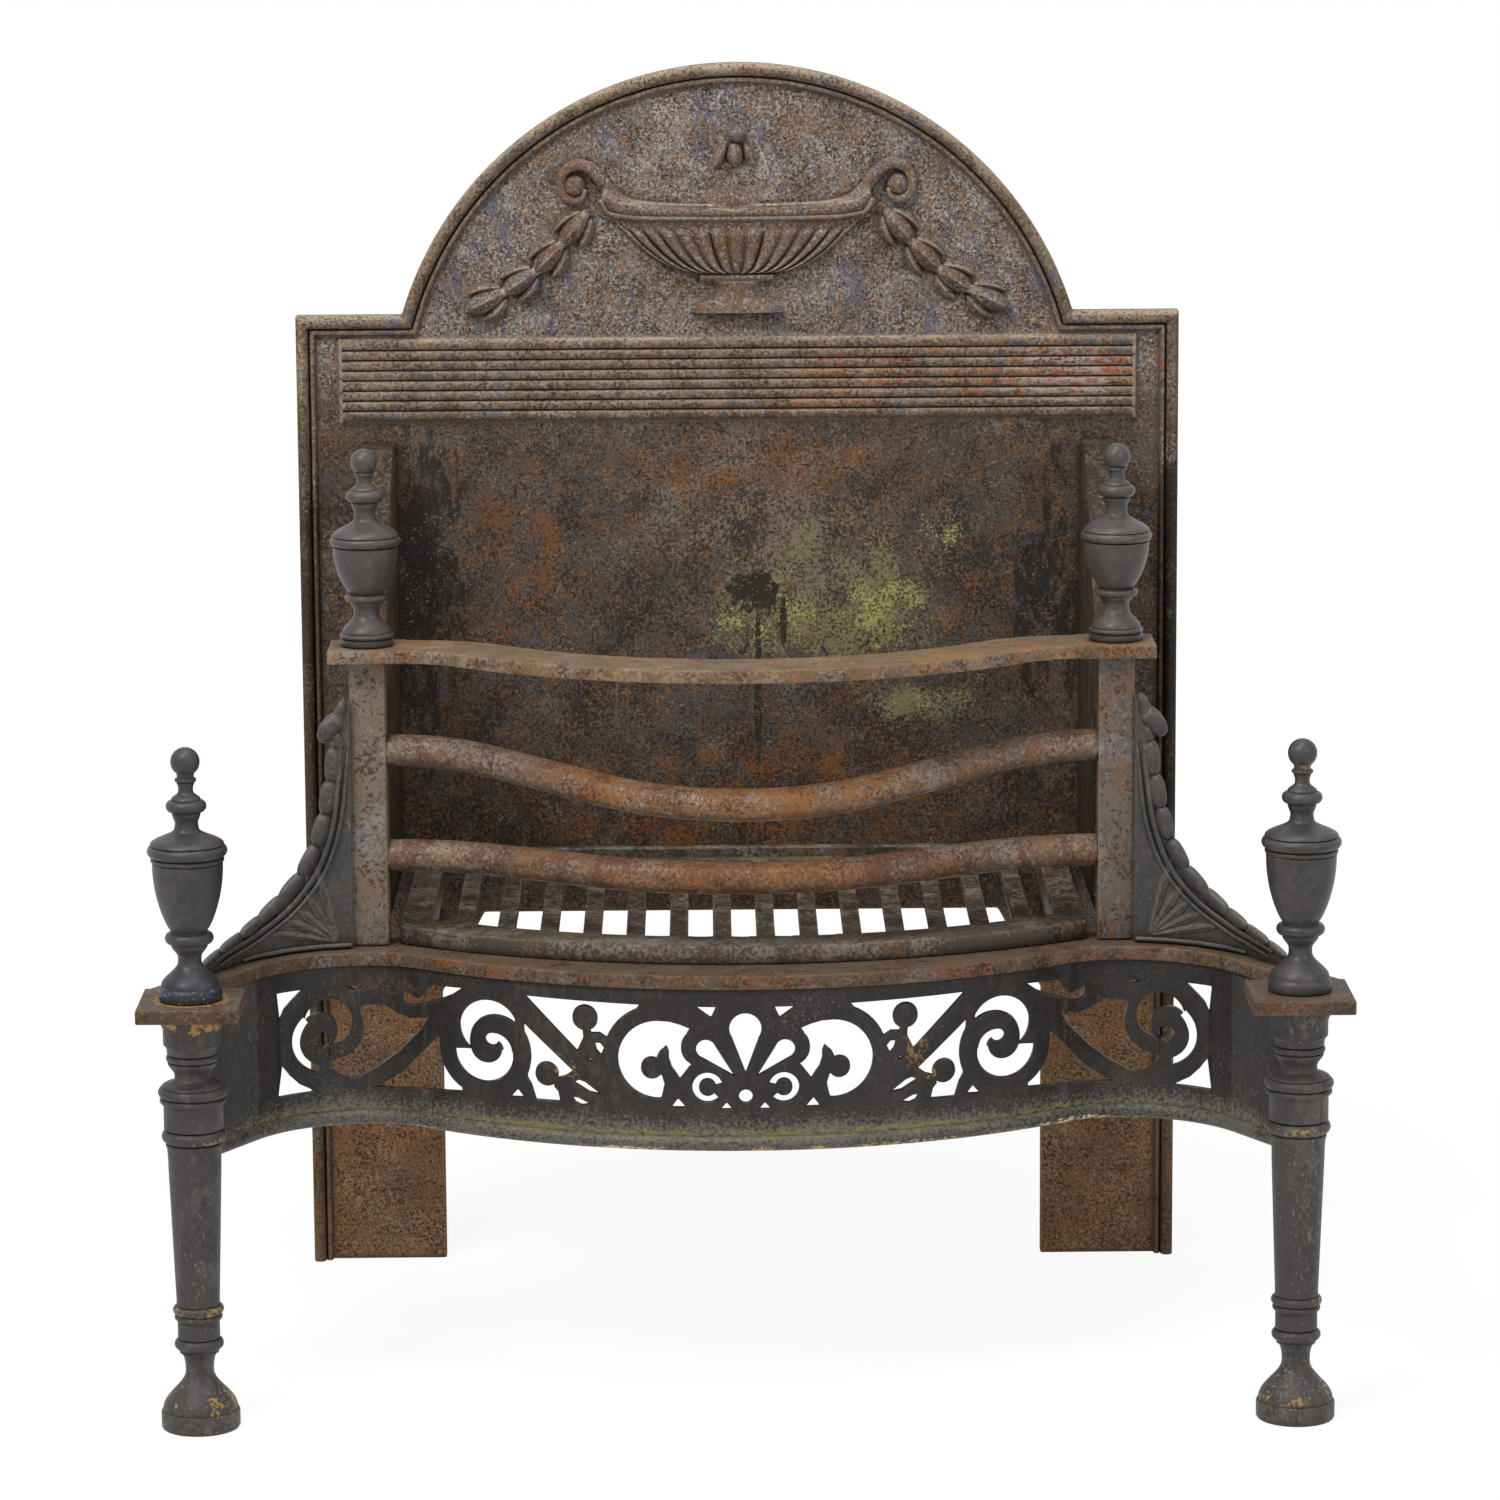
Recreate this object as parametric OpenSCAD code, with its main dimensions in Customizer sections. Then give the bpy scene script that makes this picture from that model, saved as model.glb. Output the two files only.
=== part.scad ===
// Neoclassical serpentine-front fire grate, cast and wrought iron.
// Millimetres, +Z up, front towards -Y, origin on the floor at the middle of the footprint.

/* [Overall] */
// Width over the front leg plates
overall_w = 828; // [780:1:880]
// Depth from the front of the leg plates to the back of the fireback
overall_d = 475; // [455:1:520]
// Height of the top face of the lower rail above the floor
rail_top = 303; // [290:1:330]
// Height of the top face of the top rail above the floor
shelf_top = 518; // [500:1:545]

/* [Fireback] */
// Width of the fireback plate
fb_w = 659; // [630:1:700]
// Height of the shoulders beside the arch
fb_shoulder = 726; // [700:1:760]
// Radius of the arched top
arch_r = 261.5; // [250:0.5:275]
// Height of the centre of the arch above the floor
arch_z = 650; // [640:1:660]
// Thickness of the fireback plate
fb_t = 10; // [8:0.5:14]
// Width of the raised border band
border_w = 15.4; // [13:0.2:18]
// How far the border band stands out of the plate
border_t = 3; // [2:0.5:5]
// Radius of the bead along the border
bead_r = 4.4; // [3.5:0.1:5.5]
// Width of the opening between the two fireback legs
fb_leg_gap = 456; // [430:1:470]
// Height of the opening between the two fireback legs
fb_leg_h = 271; // [250:1:285]
// Width of the haunch where a leg spreads into the plate
haunch_w = 33; // [20:1:40]
// Height of that haunch
haunch_h = 62; // [40:1:80]
// Half length of the reeded band
reed_half = 296; // [280:1:305]
// Distance between two reeds
reed_pitch = 7.55; // [7:0.05:8.2]
// Number of reeds
reed_n = 8; // [6:1:9]
// Height of the lowest reed's lower edge
reed_z = 647; // [640:1:655]

/* [Front rails] */
// Thickness of the flat rail bars
rail_t = 10; // [8:0.5:13]
// Width of the lower rail between the posts
rail_w = 52; // [46:1:56]
// Width of the lower rail where it runs on to a leg
tail_w = 26; // [22:1:30]
// Side of the square plate on a leg
plate_w = 70; // [62:1:76]
// Distance from the leg axis back to the rail's front edge at the middle
bow_front = 57; // [50:1:70]
// Distance from the leg axis back to the rail's front edge at a post
bow_back = 145; // [135:1:155]
// Radius of the reverse curve on the inner side of a post
bend_in = 60; // [50:1:70]
// Radius of the reverse curve on the outer side of a post
bend_out = 90; // [80:1:100]
// Thickness of the top rail
shelf_t = 9.5; // [8:0.5:12]
// Width of the top rail bar
shelf_w = 50; // [44:1:54]
// Side of the square end plate of the top rail
shelf_plate = 54; // [50:1:60]
// Radius of the bend beside the top rail's end plate
shelf_bend = 51; // [45:1:60]

/* [Posts and bars] */
// Side of the square post
post_w = 25.4; // [22:0.2:30]
// Distance of a post's axis from the middle
post_x = 265; // [255:1:275]
// Diameter of the round front bars
bar_d = 23; // [20:0.5:25]
// Height of the upper bar's ends
upper_bar_z = 442.5; // [435:0.5:455]
// Height of the lower bar's axis
lower_bar_z = 366.5; // [360:0.5:375]
// How far a bar bows forward
bar_bow = 91; // [80:1:96]
// Steepest angle of a bar in plan
bar_angle = 31; // [28:0.5:34]
// Angle by which the upper bar hangs down
bar_droop = 15; // [8:0.5:18]
// Diameter of a bar's tenon
tenon_d = 14; // [10:0.5:17]

/* [Basket] */
// Width of one cheek over its flanges
cheek_w = 26; // [22:1:30]
// Wall thickness of a cheek
cheek_t = 8; // [6:0.5:10]
// Distance between the two cheeks
cheek_gap = 512; // [504:1:520]
// Height of a cheek's top
cheek_top = 630; // [610:1:638]
// Depth of a cheek below its slope
cheek_d = 168; // [150:1:176]
// Depth of a cheek along its top
cheek_top_d = 45; // [38:1:60]
// Height of the lower end of a cheek's slope
cheek_knee = 512; // [495:1:525]
// Clearance between the loose bottom grate and a cheek
grate_side_gap = 11; // [9:0.5:16]
// Thickness of the bottom grate's front bar
grate_t = 13; // [11:0.5:16]
// Distance of the bottom grate's front edge behind the rail's
grate_set = 37; // [33:1:42]
// Radius of the bottom grate's front edge
grate_r = 430; // [420:1:460]
// Number of gaps between the grate's bars
grate_gaps = 15; // [13:2:17]
// Width of the grate's side bars
side_w = 21.4; // [18:0.2:26]
// Width of one fire bar on top
fire_bar_w = 13.2; // [11:0.2:15]
// Width of a bearer strap
strap_w = 24; // [20:1:26]
// Thickness of a bearer strap
strap_t = 8; // [6:0.5:10]

/* [Fret and wings] */
// Height of the pierced fret apron
fret_h = 115; // [112:1:120]
// Thickness of the fret
fret_t = 6; // [5:0.5:8]
// How far the fret stands behind the rail's front edge
fret_back = 3; // [2:0.5:5]
// Radius of the lip along the fret's lower edge
lip_r = 5; // [4:0.5:6]
// Thickness of a wing
wing_t = 6; // [5:0.5:8]
// How far a wing stands behind the rail's front edge
wing_back = 14; // [12:0.5:16]
// Width of a wing where it is narrowest, beside the post
wing_waist = 13.3; // [11:0.1:16]
// Number of husks along a wing's hollow edge
husk_n = 7; // [6:1:8]

/* [Turned pieces] */
// Height of a leg finial
leg_finial_h = 175; // [160:1:190]
// Height of a top finial
top_finial_h = 140; // [128:1:148]
// Diameter of the studs that hold the finials
stud_d = 10; // [8:0.5:12]

/* [Fixings and clearances] */
// Diameter of the larger bolts
bolt_d = 8; // [6:0.5:9]
// Diameter of the smaller screws
screw_d = 6; // [5:0.5:7]
// Radial clearance of a bolt, stud or tenon in its hole
fit_gap = 0.15; // [0.05:0.05:0.3]
// Gap between the loose grate and what it rests on
seat_gap = 0.2; // [0.1:0.05:0.4]

/* [Hidden] */
$fn = 64;
eps = 0.01;
weld = 3;
// hair that keeps an arc and the line that runs into it from touching in a point
hair = 0.05;

// places that everything shares
leg_x = overall_w / 2 - plate_w / 2;
leg_y = -overall_d / 2 + plate_w / 2;
back_y = overall_d / 2;
field_y = back_y - fb_t;
rail_bot = rail_top - rail_t;
shelf_bot = shelf_top - shelf_t;
front_y = leg_y + bow_front;
crest_y = leg_y + bow_back;
post_y = crest_y + rail_w / 2 + 7;
cheek_x = cheek_gap / 2;
grate_w = cheek_gap - 2 * grate_side_gap;
gap_w = (grate_w - 2 * side_w - (grate_gaps - 1) * fire_bar_w) / grate_gaps;
gap_pitch = gap_w + fire_bar_w;

// serpentine line of the lower rail: middle arc, bend, outer bend, straight tail
bow_h = crest_y - front_y;
bow_sum = (post_x * post_x + bow_h * bow_h) / (2 * bow_h);
bow_r = bow_sum - bend_in;
bow_a = asin(post_x / bow_sum);
bow_x = bow_r * sin(bow_a);
tail_a = 60;
tail_x = post_x + bend_out * sin(tail_a);
tail_y = crest_y - bend_out + bend_out * cos(tail_a);
far_y = overall_w + 2 * bow_r;

// distance back to the serpentine at a given x, for a line off millimetres behind the front edge
function serp_y(x, off) =
    abs(x) <= (bow_r - off) * sin(bow_a) ? front_y + bow_r - sqrt(pow(bow_r - off, 2) - x * x)
    : abs(x) <= post_x ? crest_y - bend_in + sqrt(pow(bend_in + off, 2) - pow(post_x - abs(x), 2))
    : abs(x) <= post_x + (bend_out + off) * sin(tail_a) ? crest_y - bend_out + sqrt(pow(bend_out + off,
        2) - pow(abs(x) - post_x, 2))
    : tail_y + off * cos(tail_a) - (abs(x) - tail_x - off * sin(tail_a)) * tan(tail_a);

// part of a flat ring between two angles
module ring_part(r_in, r_out, a0, a1) {
    far = 2.4 * r_out;
    am = (a0 + a1) / 2;
    intersection() {
        difference() {
            circle(r_out, $fn = 128);
            circle(r_in, $fn = 128);
        }
        polygon([[0, 0], [far * cos(a0), far * sin(a0)], [far * cos(am), far * sin(am)], [far * cos(a1),
            far * sin(a1)]]);
    }
}

// everything behind the lower rail's front edge, moved back by off
module behind_rail(off) {
    o = [0, front_y + bow_r];
    c = [post_x, crest_y - bend_out];
    t = c + (bend_out + off) * [sin(tail_a), cos(tail_a)];
    e = t + 160 * [cos(tail_a), -sin(tail_a)];
    translate(o) circle(bow_r - off, $fn = 160);
    for (s = [0, 1]) mirror([s, 0]) {
        difference() {
            polygon([o, [post_x, crest_y - bend_in], [post_x, far_y], [0, far_y]]);
            translate([post_x, crest_y - bend_in]) circle(bend_in + off - hair, $fn = 128);
        }
        difference() {
            polygon([c, t, e, [e[0], far_y], [post_x, far_y]]);
            translate(c) circle(bend_out + off - hair, $fn = 128);
        }
    }
}

// band that follows the rail, between two distances behind its front edge and x0 < |x| < x1
module rail_band(off0, off1, x0, x1) {
    intersection() {
        difference() {
            behind_rail(off0);
            behind_rail(off1);
        }
        if (x0 > 0)
            for (s = [0, 1]) mirror([s, 0]) translate([x0, -overall_d / 2]) square([x1 - x0, overall_d]);
        else
            translate([-x1, -overall_d / 2]) square([2 * x1, overall_d]);
    }
}

module round_hole(x, y, r, z0, z1) {
    translate([x, y, z0]) cylinder(r = r, h = z1 - z0, $fn = 48);
}

// runs its child on the right and mirrored on the left
module both_sides() {
    children();
    mirror([1, 0, 0]) children();
}

/* ---- fireback ---- */

module fb_outline(inset) {
    half = fb_w / 2 - inset;
    gap = fb_leg_gap / 2;
    difference() {
        union() {
            translate([-half, 0]) square([2 * half, fb_shoulder - inset]);
            translate([0, arch_z]) circle(arch_r - inset, $fn = 160);
        }
        polygon([
            [-gap, -1], [gap, -1], [gap, fb_leg_h - haunch_h], [gap - haunch_w, fb_leg_h],
            [haunch_w - gap, fb_leg_h], [-gap, fb_leg_h - haunch_h]
        ]);
    }
}

// lies in the x-z plane and grows towards the front
module standing(h) {
    translate([0, field_y + eps, 0]) rotate([90, 0, 0]) linear_extrude(h + eps) children();
}

// bead along the border: sides, shoulders and arch, with a small block at each corner
module fb_bead() {
    x = fb_w / 2 - bead_r;
    z = fb_shoulder - bead_r;
    r = arch_r - bead_r;
    a = asin((z - arch_z) / r);
    y = field_y - border_t + 0.4;
    for (s = [-1, 1]) {
        translate([s * x, y, 0]) cylinder(r = bead_r, h = z, $fn = 32);
        translate([s > 0 ? r * cos(a) : -x, y, z]) rotate([0, 90, 0]) cylinder(r = bead_r,
            h = x - r * cos(a), $fn = 32);
        for (c = [x, r * cos(a)]) translate([s * c - bead_r - 0.1, y - bead_r - 0.1, z - bead_r - 0.1])
            cube([2 * bead_r + 0.2, bead_r + border_t, 2 * bead_r + 0.2]);
    }
    translate([0, y, arch_z]) rotate([90, 0, 0]) rotate([0, 0, a])
        rotate_extrude(angle = 180 - 2 * a, $fn = 160) translate([r, 0]) circle(bead_r, $fn = 32);
}

// lens with pointed ends, l long and 2 r wide, standing along y
module lens(l, r) {
    big = (l * l / 4 + r * r) / (2 * r);
    intersection() {
        translate([r - big, 0]) circle(big, $fn = 96);
        translate([big - r, 0]) circle(big, $fn = 96);
    }
}

// drop with a round end and a point
module drop(c, r, tip) {
    d = norm(tip - c);
    a = atan2(tip[1] - c[1], tip[0] - c[0]);
    b = acos(r / d);
    translate(c) circle(r, $fn = 48);
    polygon([tip, c + 0.98 * r * [cos(a + b), sin(a + b)], c, c + 0.98 * r * [cos(a - b), sin(a - b)]]);
}

urn_z = 755;
urn_top = 800;
urn_r = 122;
scroll_x = 121;
scroll_z = 823;
lobe_n = 15;

module urn() {
    // bowl with its rim band
    standing(3.4) intersection() {
        translate([0, urn_z + urn_r]) circle(urn_r, $fn = 128);
        translate([-110, urn_z]) square([220, urn_top - urn_z]);
    }
    standing(6) translate([-97, urn_top - 4]) square([194, 15]);
    // gadroons fan out of the collar
    standing(6.2) for (i = [0 : lobe_n - 1]) {
        k = (i - (lobe_n - 1) / 2) / ((lobe_n - 1) / 2);
        w = 5 - 1.9 * abs(k);
        drop([80 * sin(78 * k), 790 - w - 2 * abs(k)], w, [25 * sin(78 * k), 757 + 7 * k * k]);
    }
    // collar, stem and foot
    standing(6.5) translate([-27.5, 750]) square([55, 6]);
    standing(5) polygon([[-13, 752], [13, 752], [15, 743], [26, 738], [26, 730], [-26, 730], [-26, 738],
        [-15, 743]]);
    standing(7) translate([-36, 725]) square([72, 7]);
    // low lid
    standing(5) intersection() {
        translate([0, 796]) circle(21, $fn = 64);
        translate([-25, 809]) square([50, 12]);
    }
    // handles that sweep out of the rim and roll into scrolls
    both_sides() {
        standing(4.6) {
            translate([scroll_x, scroll_z]) ring_part(6.4, 10.8, -100, 0);
            translate([scroll_x, scroll_z]) ring_part(6.4, 10.8, 0, 110);
            translate([80, 847]) ring_part(29, 34.4, -92, -20);
        }
        standing(6) translate([scroll_x, scroll_z]) circle(4.4, $fn = 32);
    }
}

// swag of husks that hangs from each handle, and the bud above the urn
swag = [[114, 800, 38], [128, 780, 42], [148, 759, 50], [172, 741, 60]];

module swags() {
    for (p = swag) both_sides() {
        standing(5.4) translate([p[0] + 5, p[1]]) rotate(p[2]) lens(31, 5.6);
        standing(3.8) translate([p[0] + 5, p[1]]) rotate(p[2])
            for (s = [-1, 1]) translate([s * 4.6, -2]) rotate(-s * 16) lens(24, 3.6);
    }
    standing(5.4) translate([-1, 856]) circle(6.4, $fn = 48);
    standing(5) for (s = [-1, 0, 1]) translate([-1 + s * 9, 842 - abs(s) * 2]) rotate(s * -30) lens(26, 5);
}

module reeds() {
    for (i = [0 : reed_n - 1]) translate([-reed_half, field_y, reed_z + reed_pitch * (i + 0.5)])
        rotate([0, 90, 0]) cylinder(r = reed_pitch * 0.46, h = 2 * reed_half, $fn = 32);
}

// heights of the bolts through a cheek's back flange
cheek_bolts = [rail_top + 40, (rail_top + cheek_top) / 2 + 5, cheek_top - 30];
bolt_x = cheek_x + cheek_t + (cheek_w - cheek_t) / 2;
strap_x = grate_w / 2 - strap_w / 6;
foot_drop = 48;
foot_bolt_z = rail_bot - strap_t - 20;
strap_bolt_y = crest_y + rail_w * 0.52;

module back_hole(x, z) {
    translate([x, back_y + 1, z]) rotate([90, 0, 0]) cylinder(r = bolt_d / 2 + fit_gap, h = fb_t + 12,
        $fn = 48);
}

module fireback() {
    color("dimgray") difference() {
        union() {
            translate([0, back_y, 0]) rotate([90, 0, 0]) linear_extrude(fb_t) fb_outline(0);
            standing(border_t) difference() {
                fb_outline(0);
                union() {
                    translate([-fb_w / 2 + border_w, -1]) square([fb_w - 2 * border_w,
                        fb_shoulder + 1 - border_w]);
                    translate([0, arch_z]) circle(arch_r - border_w, $fn = 160);
                }
            }
            fb_bead();
            reeds();
            urn();
            swags();
        }
        both_sides() for (z = cheek_bolts) back_hole(bolt_x, z);
        both_sides() back_hole(strap_x, foot_bolt_z);
        translate([-fb_w, field_y - 30, -20]) cube([2 * fb_w, 60, 20]);
    }
}

/* ---- cheeks ---- */

// side outline of a cheek, x here is the distance in front of the fireback
module cheek_outline(in) {
    k = in * tan(atan((cheek_top - cheek_knee) / (cheek_d - cheek_top_d)) / 2);
    difference() {
        translate([in, rail_top + 2 + in]) square([cheek_d - 2 * in, cheek_top - rail_top - 2 - 2 * in]);
        translate([cheek_d - in, cheek_knee - k]) rotate(atan2(cheek_top - cheek_knee,
            -(cheek_d - cheek_top_d)))
            translate([-300, -300]) square([900, 300]);
    }
}

module cheek() {
    difference() {
        translate([cheek_x, field_y, 0]) rotate([90, 0, 90]) mirror([1, 0, 0]) linear_extrude(cheek_w)
            cheek_outline(0);
        translate([cheek_x + cheek_t, field_y, 0]) rotate([90, 0, 90]) mirror([1, 0,
            0]) linear_extrude(cheek_w) cheek_outline(cheek_t);
        for (z = cheek_bolts) back_hole(bolt_x, z);
    }
}

module cheek_left() color("slategray") mirror([1, 0, 0]) cheek();

module cheek_right() color("slategray") cheek();

/* ---- rails ---- */

shelf_m = post_x - shelf_plate / 2 - 2;
shelf_crest = post_y - shelf_plate / 2;
shelf_h = shelf_crest - front_y;
shelf_sum = (shelf_m * shelf_m + shelf_h * shelf_h) / (2 * shelf_h);
shelf_r = shelf_sum - shelf_bend;

// everything behind the top rail's front edge, moved back by off
module behind_shelf(off) {
    o = [0, front_y + shelf_r];
    translate(o) circle(shelf_r - off, $fn = 160);
    for (s = [0, 1]) mirror([s, 0]) {
        difference() {
            polygon([o, [shelf_m, shelf_crest - shelf_bend], [shelf_m, far_y], [0, far_y]]);
            translate([shelf_m, shelf_crest - shelf_bend]) circle(shelf_bend + off - hair, $fn = 128);
        }
        translate([shelf_m, shelf_crest + off]) square([far_y, far_y - shelf_crest - off]);
    }
}

module shelf_plan() {
    intersection() {
        difference() {
            behind_shelf(0);
            behind_shelf(shelf_w);
        }
        translate([-post_x, front_y - 1]) square([2 * post_x, overall_d / 2]);
    }
    for (s = [-1, 1]) translate([s * post_x - shelf_plate / 2, post_y - shelf_plate / 2])
        square(shelf_plate);
}

module top_rail() {
    color("sienna") difference() {
        translate([0, 0, shelf_bot]) linear_extrude(shelf_t) shelf_plan();
        both_sides() round_hole(post_x, post_y, stud_d / 2 + fit_gap, shelf_bot - 1, shelf_top + 1);
    }
}

pad_end = post_x + post_w / 2 + 13;
fret_lug_x = [0, 125, 205];
lug_in = fret_back + fret_t + 14;
wing_lug_x = post_x + 44;

module rail_plan() {
    rail_band(0, rail_w, 0, pad_end);
    rail_band(0, tail_w, pad_end - 5, overall_w / 2);
    for (s = [-1, 1]) translate([s * leg_x - plate_w / 2, leg_y - plate_w / 2]) square(plate_w);
}

module lower_rail() {
    color("peru") difference() {
        translate([0, 0, rail_bot]) linear_extrude(rail_t) rail_plan();
        both_sides() round_hole(leg_x, leg_y, stud_d / 2 + fit_gap, rail_bot - 1, rail_top + 1);
        both_sides() round_hole(post_x, post_y, stud_d / 2 + fit_gap, rail_bot - 1, rail_top + 1);
        both_sides() round_hole(strap_x, strap_bolt_y, bolt_d / 2 + fit_gap, rail_bot - 1, rail_top + 1);
        both_sides() for (x = fret_lug_x) round_hole(x, serp_y(x, lug_in), screw_d / 2 + fit_gap,
            rail_bot - 1, rail_top + 1);
    }
}

/* ---- posts and bars ---- */

module post() {
    difference() {
        translate([post_x - post_w / 2, post_y - post_w / 2, rail_top]) cube([post_w, post_w,
            shelf_bot - rail_top]);
        for (z = [upper_bar_z, lower_bar_z]) translate([post_x - post_w, post_y, z]) rotate([0, 90, 0])
            cylinder(r = tenon_d / 2 + fit_gap, h = 2 * post_w, $fn = 48);
        round_hole(post_x, post_y, stud_d / 2 + fit_gap, shelf_bot - 25, shelf_bot + 1);
        round_hole(post_x, post_y, stud_d / 2 + fit_gap, rail_top - 1, rail_top + 25);
    }
}

module post_left() color("silver") mirror([1, 0, 0]) post();

module post_right() color("silver") post();

// a bar bowed in its own plane: middle bend, straight run, end bend and tenon
bar_half = post_x - post_w / 2;

// the straight runs are a hair slimmer than the bends and reach a little way into them
module bow_bar(bow) {
    r = bar_d / 2;
    both = (bar_half * sin(bar_angle) - bow * cos(bar_angle)) / (1 - cos(bar_angle));
    run = (bow - both * (1 - cos(bar_angle))) / sin(bar_angle);
    r1 = both * 0.57;
    r2 = both - r1;
    translate([0, -bow + r1, 0]) rotate([0, 0, -90 - bar_angle])
        rotate_extrude(angle = 2 * bar_angle, $fn = 128) translate([r1, 0]) circle(r, $fn = 48);
    both_sides() {
        translate([r1 * sin(bar_angle), -bow + r1 * (1 - cos(bar_angle)), 0])
            rotate([0, 0, bar_angle]) translate([-weld, 0, 0]) rotate([0, 90, 0])
                cylinder(r = r - 0.06, h = run + 2 * weld, $fn = 48);
        translate([bar_half, -r2, 0]) rotate([0, 0, 90])
            rotate_extrude(angle = bar_angle, $fn = 128) translate([r2, 0]) circle(r, $fn = 48);
        translate([bar_half - weld, 0, 0]) rotate([0, 90, 0]) cylinder(d = tenon_d, h = post_w + weld,
            $fn = 48);
    }
}

module upper_bar() color("chocolate") translate([0, post_y, upper_bar_z]) rotate([bar_droop, 0,
    0]) bow_bar(bar_bow / cos(bar_droop));

module lower_bar() color("chocolate") translate([0, post_y, lower_bar_z]) bow_bar(bar_bow);

/* ---- loose bottom grate and its bearers ---- */

grate_bot = rail_top + seat_gap;
grate_top = grate_bot + grate_t;
grate_front = front_y + grate_set;
grate_back = field_y - 12;
grate_bar_d = 34;
strap_top = rail_bot;
lip_up = 8;

module grate_plan(in) {
    intersection() {
        translate([-grate_w / 2 + in, grate_front]) square([grate_w - 2 * in,
            grate_back - in - grate_front]);
        translate([0, grate_front + grate_r]) circle(grate_r - in, $fn = 180);
    }
}

module grate_bar(x, y0, y1) {
    top = fire_bar_w / 2;
    bot = top * 0.6;
    translate([x, y1, 0]) rotate([90, 0, 0]) linear_extrude(y1 - y0)
        polygon([[-top, grate_top], [top, grate_top], [top, grate_top - 4], [bot, grate_bot - 5], [-bot,
            grate_bot - 5], [-top, grate_top - 4]]);
}

module bottom_grate() {
    deep = crest_y + rail_w + 4;
    color("darkolivegreen") {
        // frame: bowed front bar, side bars, back bar
        translate([0, 0, grate_bot]) linear_extrude(grate_t) difference() {
            grate_plan(0);
            intersection() {
                translate([-grate_w / 2 + side_w, 0 - overall_d]) square([grate_w - 2 * side_w,
                    grate_back - 14 + overall_d]);
                translate([0, grate_front + grate_r]) circle(grate_r - grate_bar_d, $fn = 180);
            }
        }
        // fire bars
        for (i = [1 : grate_gaps - 1]) {
            x = (i - grate_gaps / 2) * gap_pitch;
            y0 = grate_front + grate_r - sqrt(pow(grate_r - grate_bar_d, 2) - x * x) - 1.5;
            grate_bar(x, y0, grate_back - 12);
        }
        // deeper sides stand on the bearers
        for (s = [-1, 1]) translate([s * (grate_w / 2 - side_w / 2) - side_w / 2, deep,
            strap_top + seat_gap])
            cube([side_w, grate_back - deep, grate_bot - strap_top]);
        // raised lip keeps the coals off the fireback
        translate([-grate_w / 2, grate_back - 10, grate_bot]) cube([grate_w, 10, grate_t + lip_up]);
    }
}

module bearer() {
    y0 = strap_bolt_y - 14;
    difference() {
        union() {
            translate([strap_x - strap_w / 2, y0, strap_top - strap_t]) cube([strap_w, field_y - y0,
                strap_t]);
            translate([strap_x - strap_w / 2, field_y - strap_t, strap_top - foot_drop]) cube([strap_w,
                strap_t, foot_drop]);
        }
        round_hole(strap_x, strap_bolt_y, bolt_d / 2 + fit_gap, strap_top - strap_t - 1, strap_top + 1);
        back_hole(strap_x, foot_bolt_z);
    }
}

module bearer_left() color("rosybrown") mirror([1, 0, 0]) bearer();

module bearer_right() color("rosybrown") bearer();

/* ---- pierced fret apron ---- */

module disc(c, r) {
    translate(c) circle(r, $fn = 64);
}

module arc_slot(c, r0, r1, a0, a1) {
    translate(c) ring_part(r0, r1, a0, a1);
}

// the openings are drawn for a fret of this height and scaled with it
pattern_h = 115;

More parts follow.
